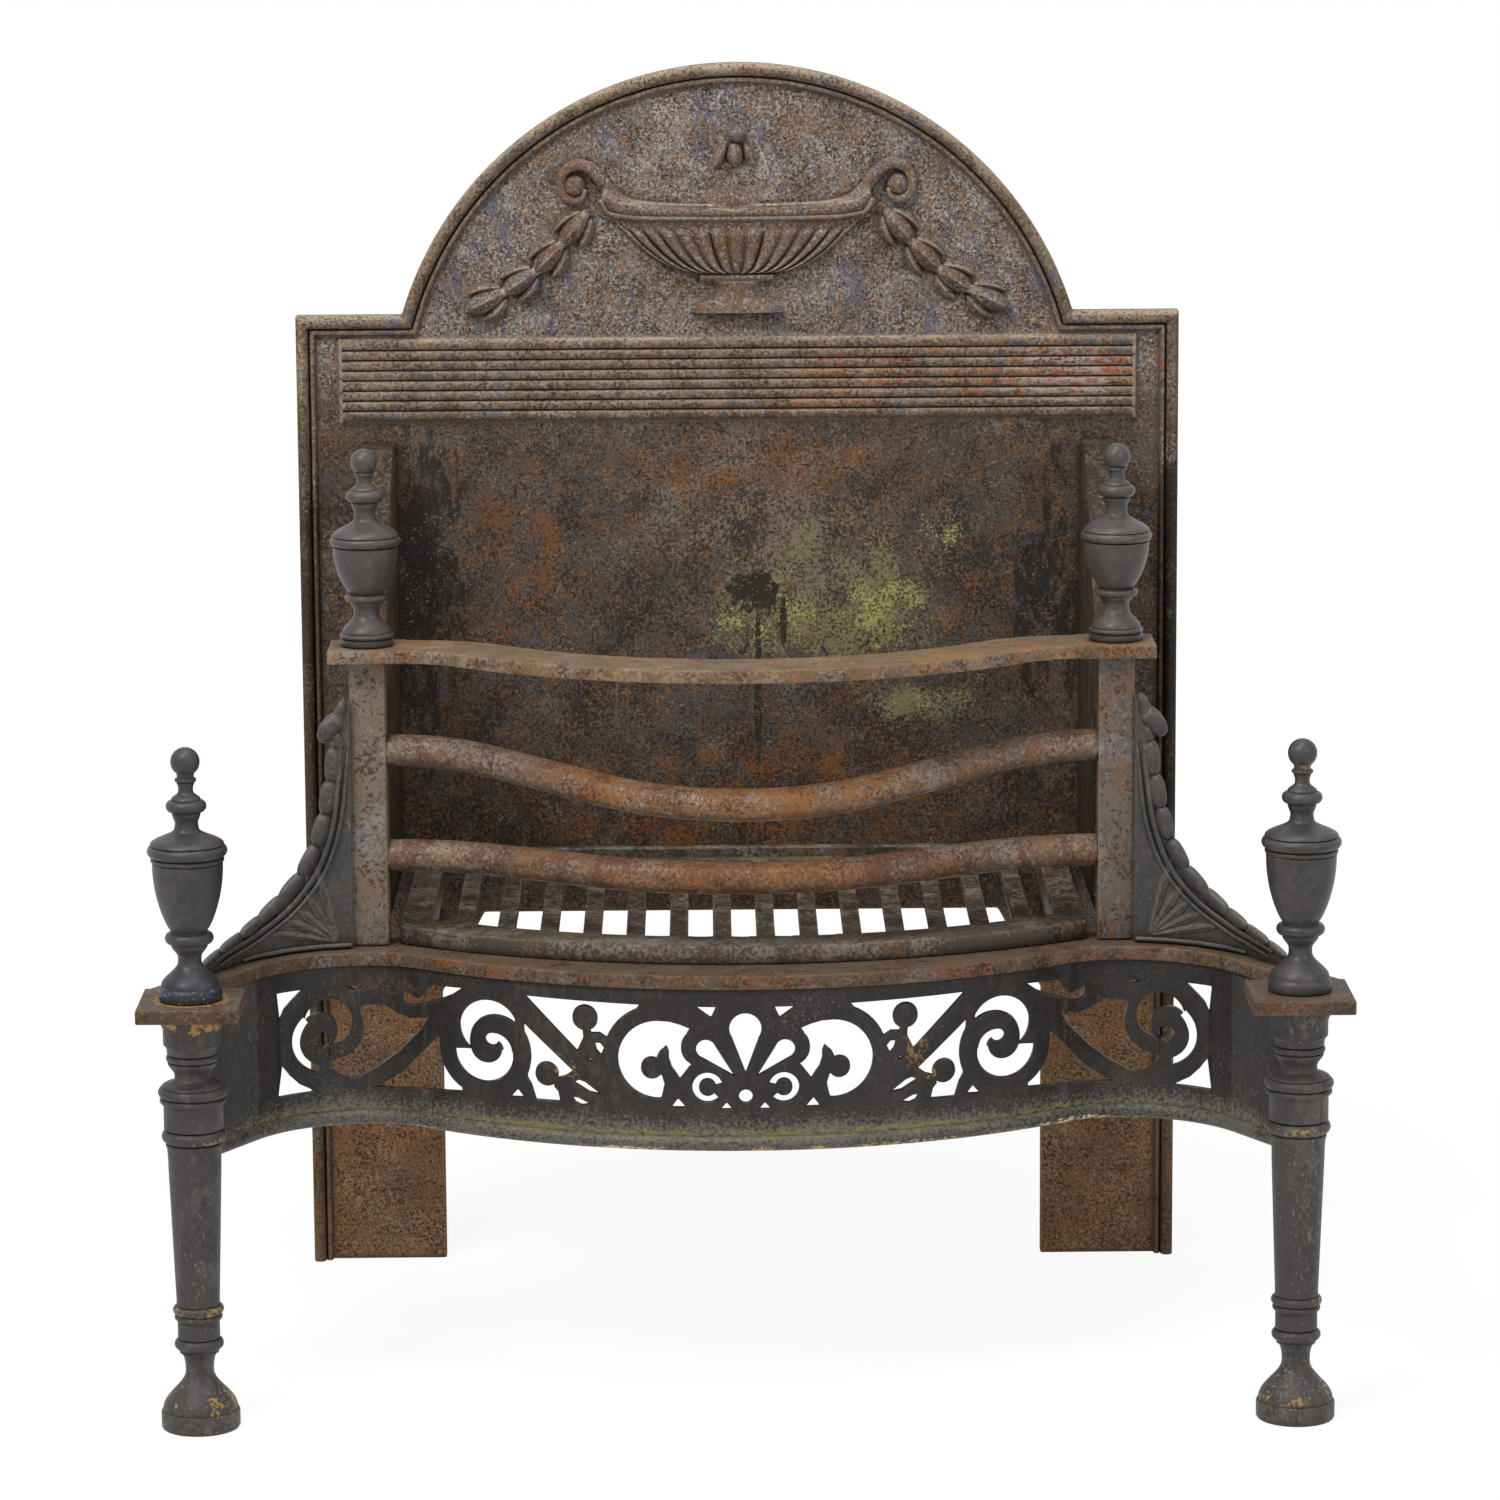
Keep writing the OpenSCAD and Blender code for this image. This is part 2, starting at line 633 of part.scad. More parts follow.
// openings of the right half, in x and height above the fret's lower edge
module fret_half() {
    // palmette beside the middle
    drop([27.6, 72], 6.9, [7.8, 53]);
    arc_slot([26.6, 44.8], 6, 10.6, -138, 13.5);
    arc_slot([26.6, 44.8], 6, 10.6, 13.4, 165);
    polygon([[34.9, 102.4], [20.3, 102.2], [23.9, 94.5]]);
    polygon([[47.2, 36.8], [52, 30.3], [41.5, 30.3]]);
    polygon([[13.3, 34.2], [17.7, 29.3], [9.2, 29.3]]);
    // large C-scroll with its leaf
    difference() {
        union() {
            disc([61, 64], 27.8);
            polygon([[61, 91.8], [53, 91.4], [45.5, 89.4], [38.5, 86.6], [43, 80], [55, 76]]);
        }
        disc([32, 73], 13);
        polygon([[20, 30], [60.5, 30], [57.8, 41], [56.6, 46.8], [58.5, 53], [66, 57], [60, 69.5], [55,
            74], [53.3, 70], [53.3, 65], [51.3, 59], [47.9, 54.2], [45.8, 50.6], [38.8, 59.8], [20, 70]]);
        disc([65.4, 58], 7.6);
    }
    // opening above the diagonal, with a ball on a stem
    difference() {
        polygon([[154, 104.5], [73.4, 103], [90, 80], [97, 78.6], [101.4, 81.4], [107.4, 81], [117.7,
            67.8]]);
        disc([61, 64], 38.5);
        disc([111.8, 91.6], 8.9);
        polygon([[108.4, 85], [113.8, 85], [113.2, 77], [117.6, 67.5], [106, 68], [107.4, 80.6]]);
    }
    // opening below the diagonal, with a ball
    difference() {
        polygon([[155, 84.4], [120.5, 52.9], [126, 48.6], [130.5, 47.2], [134.5, 41.3], [131.4, 37.7],
            [129.8, 30.3], [146.6, 30], [149.8, 40.5], [152.6, 45.3]]);
        disc([183, 61], 33);
        disc([139, 49.3], 8.3);
    }
    // leaf slots on the stems
    polygon([[105, 74.2], [101.4, 74.4], [98.6, 71], [100.8, 65.8], [103.6, 69]]);
    polygon([[111.8, 62.6], [108.2, 62.6], [106, 59.8]]);
    polygon([[120.2, 45], [116.5, 47], [112.3, 45.7], [101, 37.4], [108.9, 38.6], [115.8, 42.6]]);
    polygon([[121, 34.4], [117.4, 34.2], [108.6, 30], [114.6, 28.8], [118.8, 30.6]]);
    // round scroll: upper crescent, lower crescent and its eye
    difference() {
        disc([180, 78], 20.5);
        disc([174, 68], 20);
        translate([150, 60]) square([11.5, 40]);
    }
    difference() {
        disc([183.5, 59.5], 20.4);
        disc([182, 64.5], 11.3);
        polygon([[160, 63], [182, 64.5], [192.6, 62.2], [206, 60.6], [206, 90], [160, 90]]);
    }
    arc_slot([176.5, 62.5], 6.8, 12.6, 78, 192);
    disc([177.8, 70.4], 4.6);
    polygon([[159.8, 36.6], [165, 30.2], [155.2, 31]]);
    // spandrels between the two scrolls
    difference() {
        polygon([[262, 26.4], [252.6, 31.8], [241.6, 39.3], [230, 52.3], [217.7, 66.6], [200, 66], [200,
            29.5], [245.5, 25.8]]);
        disc([183, 61], 33);
    }
    polygon([[198, 104.8], [222.4, 103.8], [226, 97], [231, 92.3], [241.3, 97], [241.5, 88.9], [235.6,
        86.6], [226, 89.3], [214.5, 94.3], [206, 98.6]]);
    difference() {
        polygon([[224, 80], [237, 77.5], [244.5, 79.8], [251.6, 83.7], [256, 86.4], [272, 85.8], [276,
            62], [296.5, 46], [291.5, 38.4], [286.7, 34.4], [281, 33.1], [274, 34.1], [259.6, 41.8], [245,
            53.4], [230.1, 69.8]]);
        disc([293, 70], 22.7);
    }
    polygon([[282, 99.8], [271.6, 99.6], [277, 97.2]]);
    // outer scroll
    difference() {
        disc([295.5, 75], 16.6);
        disc([302, 69], 13);
    }
    disc([299.6, 62.4], 5.6);
    arc_slot([296.5, 62], 18.8, 24.3, -72, 48);
    polygon([[330.5, 100.5], [313.5, 100.2], [321.3, 93], [326.2, 88], [329, 81.6]]);
    polygon([[327.8, 48], [330.6, 25], [304.4, 25], [316, 32.2], [322.4, 39.5]]);
}

fret_bot = rail_bot - fret_h;
// how far each step of the lip stands out, and its half height, in lip radii
lip_steps = [[0.45, 0.9], [0.75, 0.66], [0.95, 0.34]];
fret_end = leg_y + 14;

// plan of the fret between two distances behind the rail's front edge
module fret_plan(off0, off1) {
    intersection() {
        rail_band(off0, off1, 0, leg_x);
        translate([-leg_x, fret_end]) square([2 * leg_x, overall_d / 2]);
    }
}

module fret_lug(x) {
    y = serp_y(x, lug_in);
    translate([x, y, rail_bot - 9]) cylinder(r = 9, h = 9, $fn = 48);
    translate([x - 9, y - 15, rail_bot - 9]) cube([18, 15, 9]);
}

module fret_apron() {
    color("darkslategray") difference() {
        union() {
            translate([0, 0, fret_bot]) linear_extrude(fret_h) fret_plan(fret_back, fret_back + fret_t);
            // lip along the lower edge, rounded in three steps
            for (k = lip_steps) translate([0, 0, fret_bot + lip_r * (1 - k[1])])
                linear_extrude(2 * lip_r * k[1])
                fret_plan(fret_back - lip_r * k[0], fret_back + 1);
            intersection() {
                both_sides() for (x = fret_lug_x) fret_lug(x);
                linear_extrude(rail_top) rail_band(fret_back + fret_t / 2, 80, 0, post_x);
            }
        }
        translate([0, back_y, fret_bot]) rotate([90, 0, 0]) linear_extrude(overall_d) {
            scale(fret_h / pattern_h) {
                drop([0, 86.6], 11.2, [0, 55.5]);
                disc([0, 38.6], 4.8);
                fret_half();
                mirror([1, 0]) fret_half();
            }
        }
        both_sides() for (x = fret_lug_x) round_hole(x, serp_y(x, lug_in), screw_d / 2 + fit_gap,
            rail_bot - 12, rail_bot + 1);
        both_sides() round_hole(leg_x, leg_y, leg_neck_r, fret_bot - 1, rail_bot + 1);
    }
}

/* ---- wings ---- */

wing_c = [leg_x + 32, rail_top + 128];
wing_x0 = post_x + post_w / 2;
wing_x1 = leg_x - 6;
wing_r = wing_c[0] - wing_x0 - wing_waist;
fan = [wing_x0 + 4, rail_top + 3];
fan_a = [17, 31, 46, 61, 77];

// distance from the fan's corner to the ridge along angle a
function fan_l(a) =
    let (v = wing_c - fan, p = v[0] * cos(a) + v[1] * sin(a), q = v * v - pow(wing_r + 15, 2))
    p - sqrt(p * p - q);

module wing_outline() {
    difference() {
        translate([wing_x0, rail_top]) square([wing_x1 - wing_x0, 152]);
        translate(wing_c) circle(wing_r, $fn = 160);
    }
    // rolled leaf at the top, beside the post
    translate([wing_x0 - 1, rail_top + 120]) square([9, 30]);
    polygon([[wing_x0 - 1, rail_top + 140], [wing_x0 - 1, rail_top + 180], [wing_x0 + 3.5,
        rail_top + 179], [wing_x0 + 8, rail_top + 172], [wing_x0 + 15, rail_top + 167.5], [wing_x0 + 19.4,
        rail_top + 161], [wing_x0 + 19.6, rail_top + 156], [wing_x0 + 16, rail_top + 150], [wing_x0 + 11,
        rail_top + 144]]);
}

module wing_relief() {
    // ridge inside the husks, foot rib and fan of leaf ribs
    intersection() {
        translate(wing_c) ring_part(wing_r + 10.5, wing_r + 14, 172, 252);
        translate([wing_x0, rail_top]) square([wing_x1 - wing_x0, 140]);
    }
    translate([wing_x0, rail_top]) square([wing_x1 - wing_x0 - 10, 5.5]);
    for (a = fan_a) translate(fan) rotate(a) polygon([[20, -0.8], [fan_l(a) - 8, -3.4], [fan_l(a) - 4, 0],
        [fan_l(a) - 8, 3.4], [20, 0.8]]);
    translate([wing_x0 + 11, rail_top + 158]) circle(7.5, $fn = 48);
}

// husks along the hollow edge
module wing_husks() {
    for (i = [0 : husk_n - 1]) {
        t = 188 + (i + 0.5) * 62 / husk_n;
        translate(wing_c + (wing_r + 4.6) * [cos(t),
            sin(t)]) rotate(t + 4) lens((wing_r + 4.6) * 62 / husk_n * PI / 180 + 1.5, 4.5);
    }
}

// what an outline seen from the front leaves of a band between two distances behind the rail's edge
module wing_layer(off0, off1) {
    intersection() {
        translate([0, 0, rail_top]) linear_extrude(shelf_bot - rail_top) rail_band(off0, off1, wing_x0,
            wing_x1);
        translate([0, back_y, 0]) rotate([90, 0, 0]) linear_extrude(overall_d) children();
        translate([0, leg_y, rail_top]) cube([overall_w, overall_d, shelf_bot - rail_top]);
    }
}

module wing() {
    wing_layer(wing_back, wing_back + wing_t) wing_outline();
    wing_layer(wing_back - 2.5, wing_back + 1) wing_relief();
    wing_layer(wing_back - 3.5, wing_back + 1) wing_husks();
}

module wing_left() color("darkslategray") mirror([1, 0, 0]) wing();

module wing_right() color("darkslategray") wing();

/* ---- turned pieces ---- */

// point list between two profile points: half wave, hollow quarter or full quarter
function wave(a, b, n = 10) = [for (i = [0 : n]) [a[0] + (b[0] - a[0]) * (1 - cos(180 * i / n)) / 2,
    a[1] + (b[1] - a[1]) * i / n]];
function swell(a, b, n = 8) = [for (i = [0 : n]) [a[0] + (b[0] - a[0]) * sin(90 * i / n),
    a[1] + (b[1] - a[1]) * (1 - cos(90 * i / n))]];
function hollow(a, b, n = 8) = [for (i = [0 : n]) [a[0] + (b[0] - a[0]) * (1 - cos(90 * i / n)),
    a[1] + (b[1] - a[1]) * sin(90 * i / n)]];

// ring moulding: radius r to its outer edge, height h, standing at z
module torus_ring(r, z, h) {
    translate([r - h / 2, z + h / 2]) circle(d = h, $fn = 32);
    translate([0, z]) square([r - h / 2, h]);
}

// each profile is drawn at this height and scaled to the one that is asked for
leg_drawn = 293;
leg_finial_drawn = 175.4;
top_finial_drawn = 140.5;
foot_r = 27.2;
leg_neck_r = 12.5;
leg_urn_r = 27.4;
top_urn_r = 25.1;

module leg_profile() {
    // foot
    polygon(concat([[0, 0], [foot_r - 1.5, 0], [foot_r, 1.5], [foot_r, 12], [foot_r - 1, 13.5]],
        wave([foot_r - 1.4, 14.5], [9.7, 41], 10), [[0, 41]]));
    polygon(concat([[0, 40]], hollow([9.7, 41], [13.8, 54], 6), [[13.8, 57], [0, 57]]));
    torus_ring(17, 56, 8);
    translate([0, 60]) square([14.6, 22]);
    torus_ring(16.6, 77, 4.5);
    torus_ring(17.6, 80.5, 7);
    // long taper
    polygon([[0, 84], [15, 84], [15, 90], [18.3, 190], [0, 190]]);
    polygon(concat([[0, 188]], hollow([18.3, 188], [19.8, 202], 5), [[0, 204]]));
    torus_ring(22.2, 203, 9.5);
    translate([0, 210]) square([20.5, 24]);
    torus_ring(23, 230.5, 5);
    torus_ring(24, 234.5, 8);
    polygon(concat([[0, 240]], wave([22, 241], [leg_neck_r, 247.5], 6), [[leg_neck_r, 251]],
        wave([leg_neck_r, 251], [17.4, 260], 6), [[0, 262]]));
    torus_ring(18, 259.5, 5.5);
    polygon([[0, 262], [17.2, 263], [19.4, 269], [19.8, 283], [21, 286], [21, leg_drawn + 1], [0,
        leg_drawn + 1]]);
}

module leg() {
    translate([leg_x, leg_y, 0]) difference() {
        scale(rail_bot / leg_drawn) rotate_extrude($fn = 64) intersection() {
            leg_profile();
            square([foot_r + 5, leg_drawn]);
        }
        translate([0, 0, rail_bot - 30]) cylinder(r = stud_d / 2 + fit_gap, h = 31, $fn = 48);
    }
}

module leg_left() color("black") mirror([1, 0, 0]) leg();

module leg_right() color("black") leg();

module leg_urn_profile() {
    polygon(concat([[0, 0], [21.2, 0], [21.8, 1], [21.8, 7], [20.8, 9]], wave([20.2, 10], [8.1, 27], 8),
        [[8.1, 30]], wave([8.1, 30], [13, 39], 5), [[0, 39]]));
    torus_ring(16.7, 39, 8.4);
    polygon(concat([[0, 46]], [for (i = [0 : 10]) [12.3 + 11.9 * sin(90 * i / 10), 48 + 50 * pow(i / 10,
        1.25)]], [[0, 98]]));
    torus_ring(25.2, 96, 4);
    torus_ring(leg_urn_r, 99.4, 8.8);
    polygon(concat([[0, 106]], wave([leg_urn_r - 1.4, 107.4], [8.4, 119.5], 8), [[7.9, 124]], wave([7.9,
        124], [10, 130], 4), [[0, 131]]));
    torus_ring(13.9, 130.5, 8.6);
    polygon(concat([[0, 138]], wave([10.5, 139], [5.1, 145], 5), [[5.1, 148], [6.4, 151], [0, 152]]));
    torus_ring(7.4, 151.3, 3.2);
    translate([0, 151]) square([6.2, 8]);
}

module leg_finial() {
    translate([leg_x, leg_y, rail_top]) difference() {
        scale(leg_finial_h / leg_finial_drawn) {
            rotate_extrude($fn = 64) intersection() {
                leg_urn_profile();
                square([leg_urn_r + 4, 170]);
            }
            translate([0, 0, 165.4]) sphere(r = 10, $fn = 48);
        }
        translate([0, 0, -1]) cylinder(r = stud_d / 2 + fit_gap, h = 22, $fn = 48);
    }
}

module leg_finial_left() color("black") mirror([1, 0, 0]) leg_finial();

module leg_finial_right() color("black") leg_finial();

module top_urn_profile() {
    polygon(concat([[0, 0], [18.4, 0], [18.9, 0.8], [18.9, 6], [18, 7]], wave([18, 9], [9, 23], 8), [[9,
        26]], wave([9, 26], [12, 32], 4), [[0, 32]]));
    torus_ring(19.1, 5.4, 4);
    torus_ring(15.4, 31.8, 5.4);
    polygon(concat([[0, 36]], [for (i = [0 : 10]) [12.2 + 11 * sin(90 * i / 10), 38 + 34 * pow(i / 10,
        1.2)]], [[0, 72]]));
    torus_ring(top_urn_r, 71.4, 7);
    polygon(concat([[0, 76]], wave([top_urn_r - 1.2, 78], [7.6, 91.5], 8), [[7.4, 96]], wave([7.4, 96],
        [10, 102.5], 4), [[0, 103]]));
    torus_ring(13.2, 102.6, 8.6);
    polygon(concat([[0, 110]], wave([9.5, 111], [5.2, 116], 4), [[5.2, 119.5], [6, 121.5], [0, 122]]));
    torus_ring(7.1, 121, 2.8);
    translate([0, 120]) square([5.6, 6]);
}

module top_finial() {
    translate([post_x, post_y, shelf_top]) difference() {
        scale(top_finial_h / top_finial_drawn) {
            rotate_extrude($fn = 64) intersection() {
                top_urn_profile();
                square([top_urn_r + 4, 140]);
            }
            translate([0, 0, 131]) sphere(r = 9.5, $fn = 48);
        }
        translate([0, 0, -1]) cylinder(r = stud_d / 2 + fit_gap, h = 21, $fn = 48);
    }
}

module top_finial_left() color("gray") mirror([1, 0, 0]) top_finial();

module top_finial_right() color("gray") top_finial();

/* ---- studs, bolts and screws ---- */

module leg_studs() {
    color("gainsboro") both_sides() translate([leg_x, leg_y, rail_bot - 28]) cylinder(d = stud_d,
        h = rail_t + 28 + 19, $fn = 48);
}

module post_studs() {
    color("gainsboro") both_sides() translate([post_x, post_y, shelf_bot - 23]) cylinder(d = stud_d,
        h = shelf_t + 23 + 18, $fn = 48);
}

// square-headed bolt, head at the origin below, shank towards +Z
module head_bolt(d, l, s, h) {
    translate([0, 0, -eps]) cylinder(d = d, h = l + eps, $fn = 48);
    translate([-s / 2, -s / 2, -h]) cube([s, s, h]);
}

module post_bolts() {
    color("gainsboro") both_sides() translate([post_x, post_y, rail_bot]) head_bolt(stud_d, rail_t + 22,
        16, 6.5);
}

module frame_bolts() {
    color("gainsboro") both_sides() {
        for (z = cheek_bolts) translate([bolt_x, field_y - cheek_t, z]) rotate([-90, 0,
            0]) head_bolt(bolt_d, cheek_t + fb_t, 13, 5.5);
        translate([strap_x, field_y - strap_t, foot_bolt_z]) rotate([-90, 0, 0]) head_bolt(bolt_d,
            strap_t + fb_t, 13, 5.5);
        translate([strap_x, strap_bolt_y, strap_top - strap_t]) head_bolt(bolt_d, strap_t + rail_t, 13,
            5.5);
    }
}

module fret_screws() {
    color("gainsboro") for (x = [for (v = fret_lug_x) each (v == 0 ? [0] : [-v, v])])
        translate([x, serp_y(x, lug_in), rail_bot - 9]) head_bolt(screw_d, 9 + rail_t, 10, 4.5);
}

fireback();
cheek_left();
cheek_right();
top_rail();
lower_rail();
post_left();
post_right();
upper_bar();
lower_bar();
bottom_grate();
bearer_left();
bearer_right();
fret_apron();
wing_left();
wing_right();
leg_left();
leg_right();
leg_finial_left();
leg_finial_right();
top_finial_left();
top_finial_right();
leg_studs();
post_studs();
post_bolts();
frame_bolts();
fret_screws();
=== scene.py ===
from math import asin, atan2, cos, degrees, exp, hypot, pi, radians, sin, sqrt, tan

import bmesh
import bpy
from mathutils import Matrix, Vector, noise


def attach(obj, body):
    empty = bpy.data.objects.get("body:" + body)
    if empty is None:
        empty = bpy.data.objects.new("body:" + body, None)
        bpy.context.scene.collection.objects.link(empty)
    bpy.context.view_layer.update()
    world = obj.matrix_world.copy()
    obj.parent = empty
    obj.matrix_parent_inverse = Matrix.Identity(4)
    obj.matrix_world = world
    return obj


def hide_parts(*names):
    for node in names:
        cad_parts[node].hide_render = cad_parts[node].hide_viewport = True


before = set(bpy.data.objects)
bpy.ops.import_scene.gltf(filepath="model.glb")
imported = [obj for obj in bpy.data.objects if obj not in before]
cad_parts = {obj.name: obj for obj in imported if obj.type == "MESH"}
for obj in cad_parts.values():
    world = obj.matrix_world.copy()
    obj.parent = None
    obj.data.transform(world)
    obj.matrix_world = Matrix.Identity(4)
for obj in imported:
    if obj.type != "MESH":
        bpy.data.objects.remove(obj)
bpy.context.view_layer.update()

# ---- Studio ----
# White paper under the grate, a large soft lamp above and to the left, a weaker one to the right and one
# overhead. A long lens looks on from a little above the top rail.
scene = bpy.context.scene
scene.view_settings.view_transform = "Standard"


def add(tree, kind, sockets=None, **settings):
    """adds a node, sets it, and gives each named socket a value, a link or a node's first output"""
    made = tree.nodes.new(kind)
    for name, value in settings.items():
        setattr(made, name, value)
    for name, value in (sockets or {}).items():
        if isinstance(value, bpy.types.Node):
            value = value.outputs[0]
        if isinstance(value, bpy.types.NodeSocket):
            tree.links.new(value, made.inputs[name])
        else:
            made.inputs[name].default_value = value
    return made


def colour(code):
    """an sRGB hex colour as the linear one that a shader takes"""
    parts = [int(code[k:k + 2], 16) / 255 for k in (0, 2, 4)]
    return tuple(p / 12.92 if p <= 0.04045 else ((p + 0.055) / 1.055) ** 2.4 for p in parts) + (1,)


def cleared(holder):
    """the emptied node tree of a world or a material"""
    holder.use_nodes = True
    holder.node_tree.nodes.clear()
    return holder.node_tree


def looked_at(tree):
    """1 for what the camera or a gloss sees, 0 for the light that falls on the object"""
    ray = add(tree, "ShaderNodeLightPath").outputs
    seen = ray["Is Camera Ray"]
    for kind in ("Is Glossy Ray", "Is Transmission Ray"):
        seen = add(tree, "ShaderNodeMath", {0: seen, 1: ray[kind]}, operation="MAXIMUM")
    return seen


lens = bpy.data.cameras.new("long_lens")
lens.lens = 134.4
lens.sensor_width = 36
lens.clip_start, lens.clip_end = 0.1, 60
camera = bpy.data.objects.new("camera", lens)
scene.collection.objects.link(camera)
stands_at = Matrix.Translation((-0.02542, -3.93751, 1.15321))
heading, pitch, roll = radians(-0.451), radians(79.678), radians(-0.374)
turn = Matrix.Rotation(heading, 4, "Z") @ Matrix.Rotation(pitch, 4, "X") @ Matrix.Rotation(roll, 4, "Z")
camera.matrix_world = stands_at @ turn
scene.camera = camera

# what the camera and the gloss see is white; the light that falls on the object is weaker
studio = bpy.data.worlds.new("studio")
scene.world = studio
tree = cleared(studio)
power = add(tree, "ShaderNodeMapRange", {"Value": looked_at(tree), "To Min": 0.3, "To Max": 1.0})
sky = add(tree, "ShaderNodeBackground", {"Color": colour("ffffff"), "Strength": power})
add(tree, "ShaderNodeOutputWorld", {"Surface": sky})

aimed_at = Vector((0, 0, 0.45))
for name, place, watts, size in (("soft_lamp_left", Vector((-1.5, -2.0, 3.2)), 78, 1.3),
                                 ("soft_lamp_right", Vector((2.0, -2.4, 1.8)), 20, 1.4),
                                 ("soft_lamp_top", Vector((0.1, -0.5, 3.5)), 40, 1.4)):
    lamp = bpy.data.lights.new(name, "AREA")
    lamp.energy = watts
    lamp.size = size
    stand = bpy.data.objects.new(name, lamp)
    lean = (aimed_at - place).to_track_quat("-Z", "Y").to_matrix().to_4x4()
    stand.matrix_world = Matrix.Translation(place) @ lean
    stand.visible_camera = False
    scene.collection.objects.link(stand)

# the paper: white to the eye, and greyed only close to the object, where that keeps the light off it
paper = bpy.data.materials.new("white_paper")
tree = cleared(paper)
seen = looked_at(tree)
spot = add(tree, "ShaderNodeTexCoord").outputs["Object"]
dust = add(tree, "ShaderNodeTexNoise", {"Vector": spot, "Scale": 9.0, "Detail": 6.0})
warm_white, white = colour("fbf4ee"), colour("ffffff")
tint = add(tree, "ShaderNodeMix", {0: dust, 6: warm_white, 7: white}, data_type="RGBA").outputs[2]
away = add(tree, "ShaderNodeVectorMath", {0: spot}, operation="LENGTH").outputs["Value"]
matt = add(tree, "ShaderNodeBsdfDiffuse", {"Color": tint})
shine = add(tree, "ShaderNodeEmission", {"Color": white, "Strength": 1.04})
share = add(tree, "ShaderNodeMapRange", {"Value": away, "From Min": 0.5, "From Max": 1.5, "To Min": 0.86,
                                         "To Max": 1.0}, interpolation_type="SMOOTHSTEP")
even = add(tree, "ShaderNodeMixShader", {0: share, 1: matt, 2: shine})
both = add(tree, "ShaderNodeMixShader", {0: seen, 1: matt, 2: even})
add(tree, "ShaderNodeOutputMaterial", {"Surface": both})
sheet = bpy.data.meshes.new("paper_floor")
bm = bmesh.new()
bmesh.ops.create_grid(bm, x_segments=4, y_segments=4, size=9)
bm.to_mesh(sheet)
bm.free()
floor = bpy.data.objects.new("paper_floor", sheet)
floor.data.materials.append(paper)
scene.collection.objects.link(floor)

# ---- Fireback ----
# One plate of grey cast iron, poured flat in sand, so its beads, reeds, urn and swags are one with it.
# It stands on two legs, and the fire has burned its skin to a pitted, flaking rust.
field_y, back_y = 227.5, 237.5
fb_half = 329.5
shoulder = 726
arch_r = 261.5
arch_z = 650
arch_x = sqrt(arch_r ** 2 - (shoulder - arch_z) ** 2)


def coat(code, size, cover, most=1.0, patch=None, **where):
    """a coat of scale, rust, grime or paint, or of painted light and shade: its colour, the size of its
    flecks in mm, the two levels of their noise between which it comes in, how dense it gets, and the patches
    in which it gathers (size in mm and weight). It may keep to places (over: centre and half lengths in mm,
    thinning out between the two parts of those at its edge), be drawn out along an axis, lie on faces that
    look up (1) or down (-1), darken corners with grime and painted shade, and pale ridges with wear and a
    painted highlight (reach in mm)."""
    return dict(code=code, size=size, cover=cover, most=most, patch=patch, **where)


# painted shade and grime: this coat darkens the iron wherever it closes in
def dirt_and_shade(code, reach, most=0.8, size=4):
    """soot and grime caught in corners, with painted shade there too, up to its reach in mm"""
    return coat(code, size, (0.2, 0.4), most, corners=reach)


def near(tree, spot, places, edge):
    """0 inside any of the places, and falling to -0.5 past their edge"""
    nearest = None
    for middle, half in places:
        moved = [-m / h for m, h in zip(middle, half)]
        scale = [1000 / h for h in half]
        at = add(tree, "ShaderNodeMapping", {"Vector": spot, "Location": moved, "Scale": scale})
        reach = add(tree, "ShaderNodeVectorMath", {0: at}, operation="LENGTH").outputs["Value"]
        inside = add(tree, "ShaderNodeMapRange", {"Value": reach, "From Min": edge[0], "From Max": edge[1],
                                                  "To Min": 0.0, "To Max": -0.5})
        if nearest:
            inside = add(tree, "ShaderNodeMath", {0: nearest, 1: inside}, operation="MAXIMUM")
        nearest = inside
    return nearest


def shut_in(tree, reach, least, **how):
    """1 where the iron closes in on a point within a reach in mm, and 0 where it lies open"""
    sky = add(tree, "ShaderNodeAmbientOcclusion", {"Distance": reach / 1000}, **how).outputs["AO"]
    return add(tree, "ShaderNodeMapRange", {"Value": sky, "From Min": least, "From Max": 0.85, "To Min": 1.0,
                                            "To Max": 0.0})


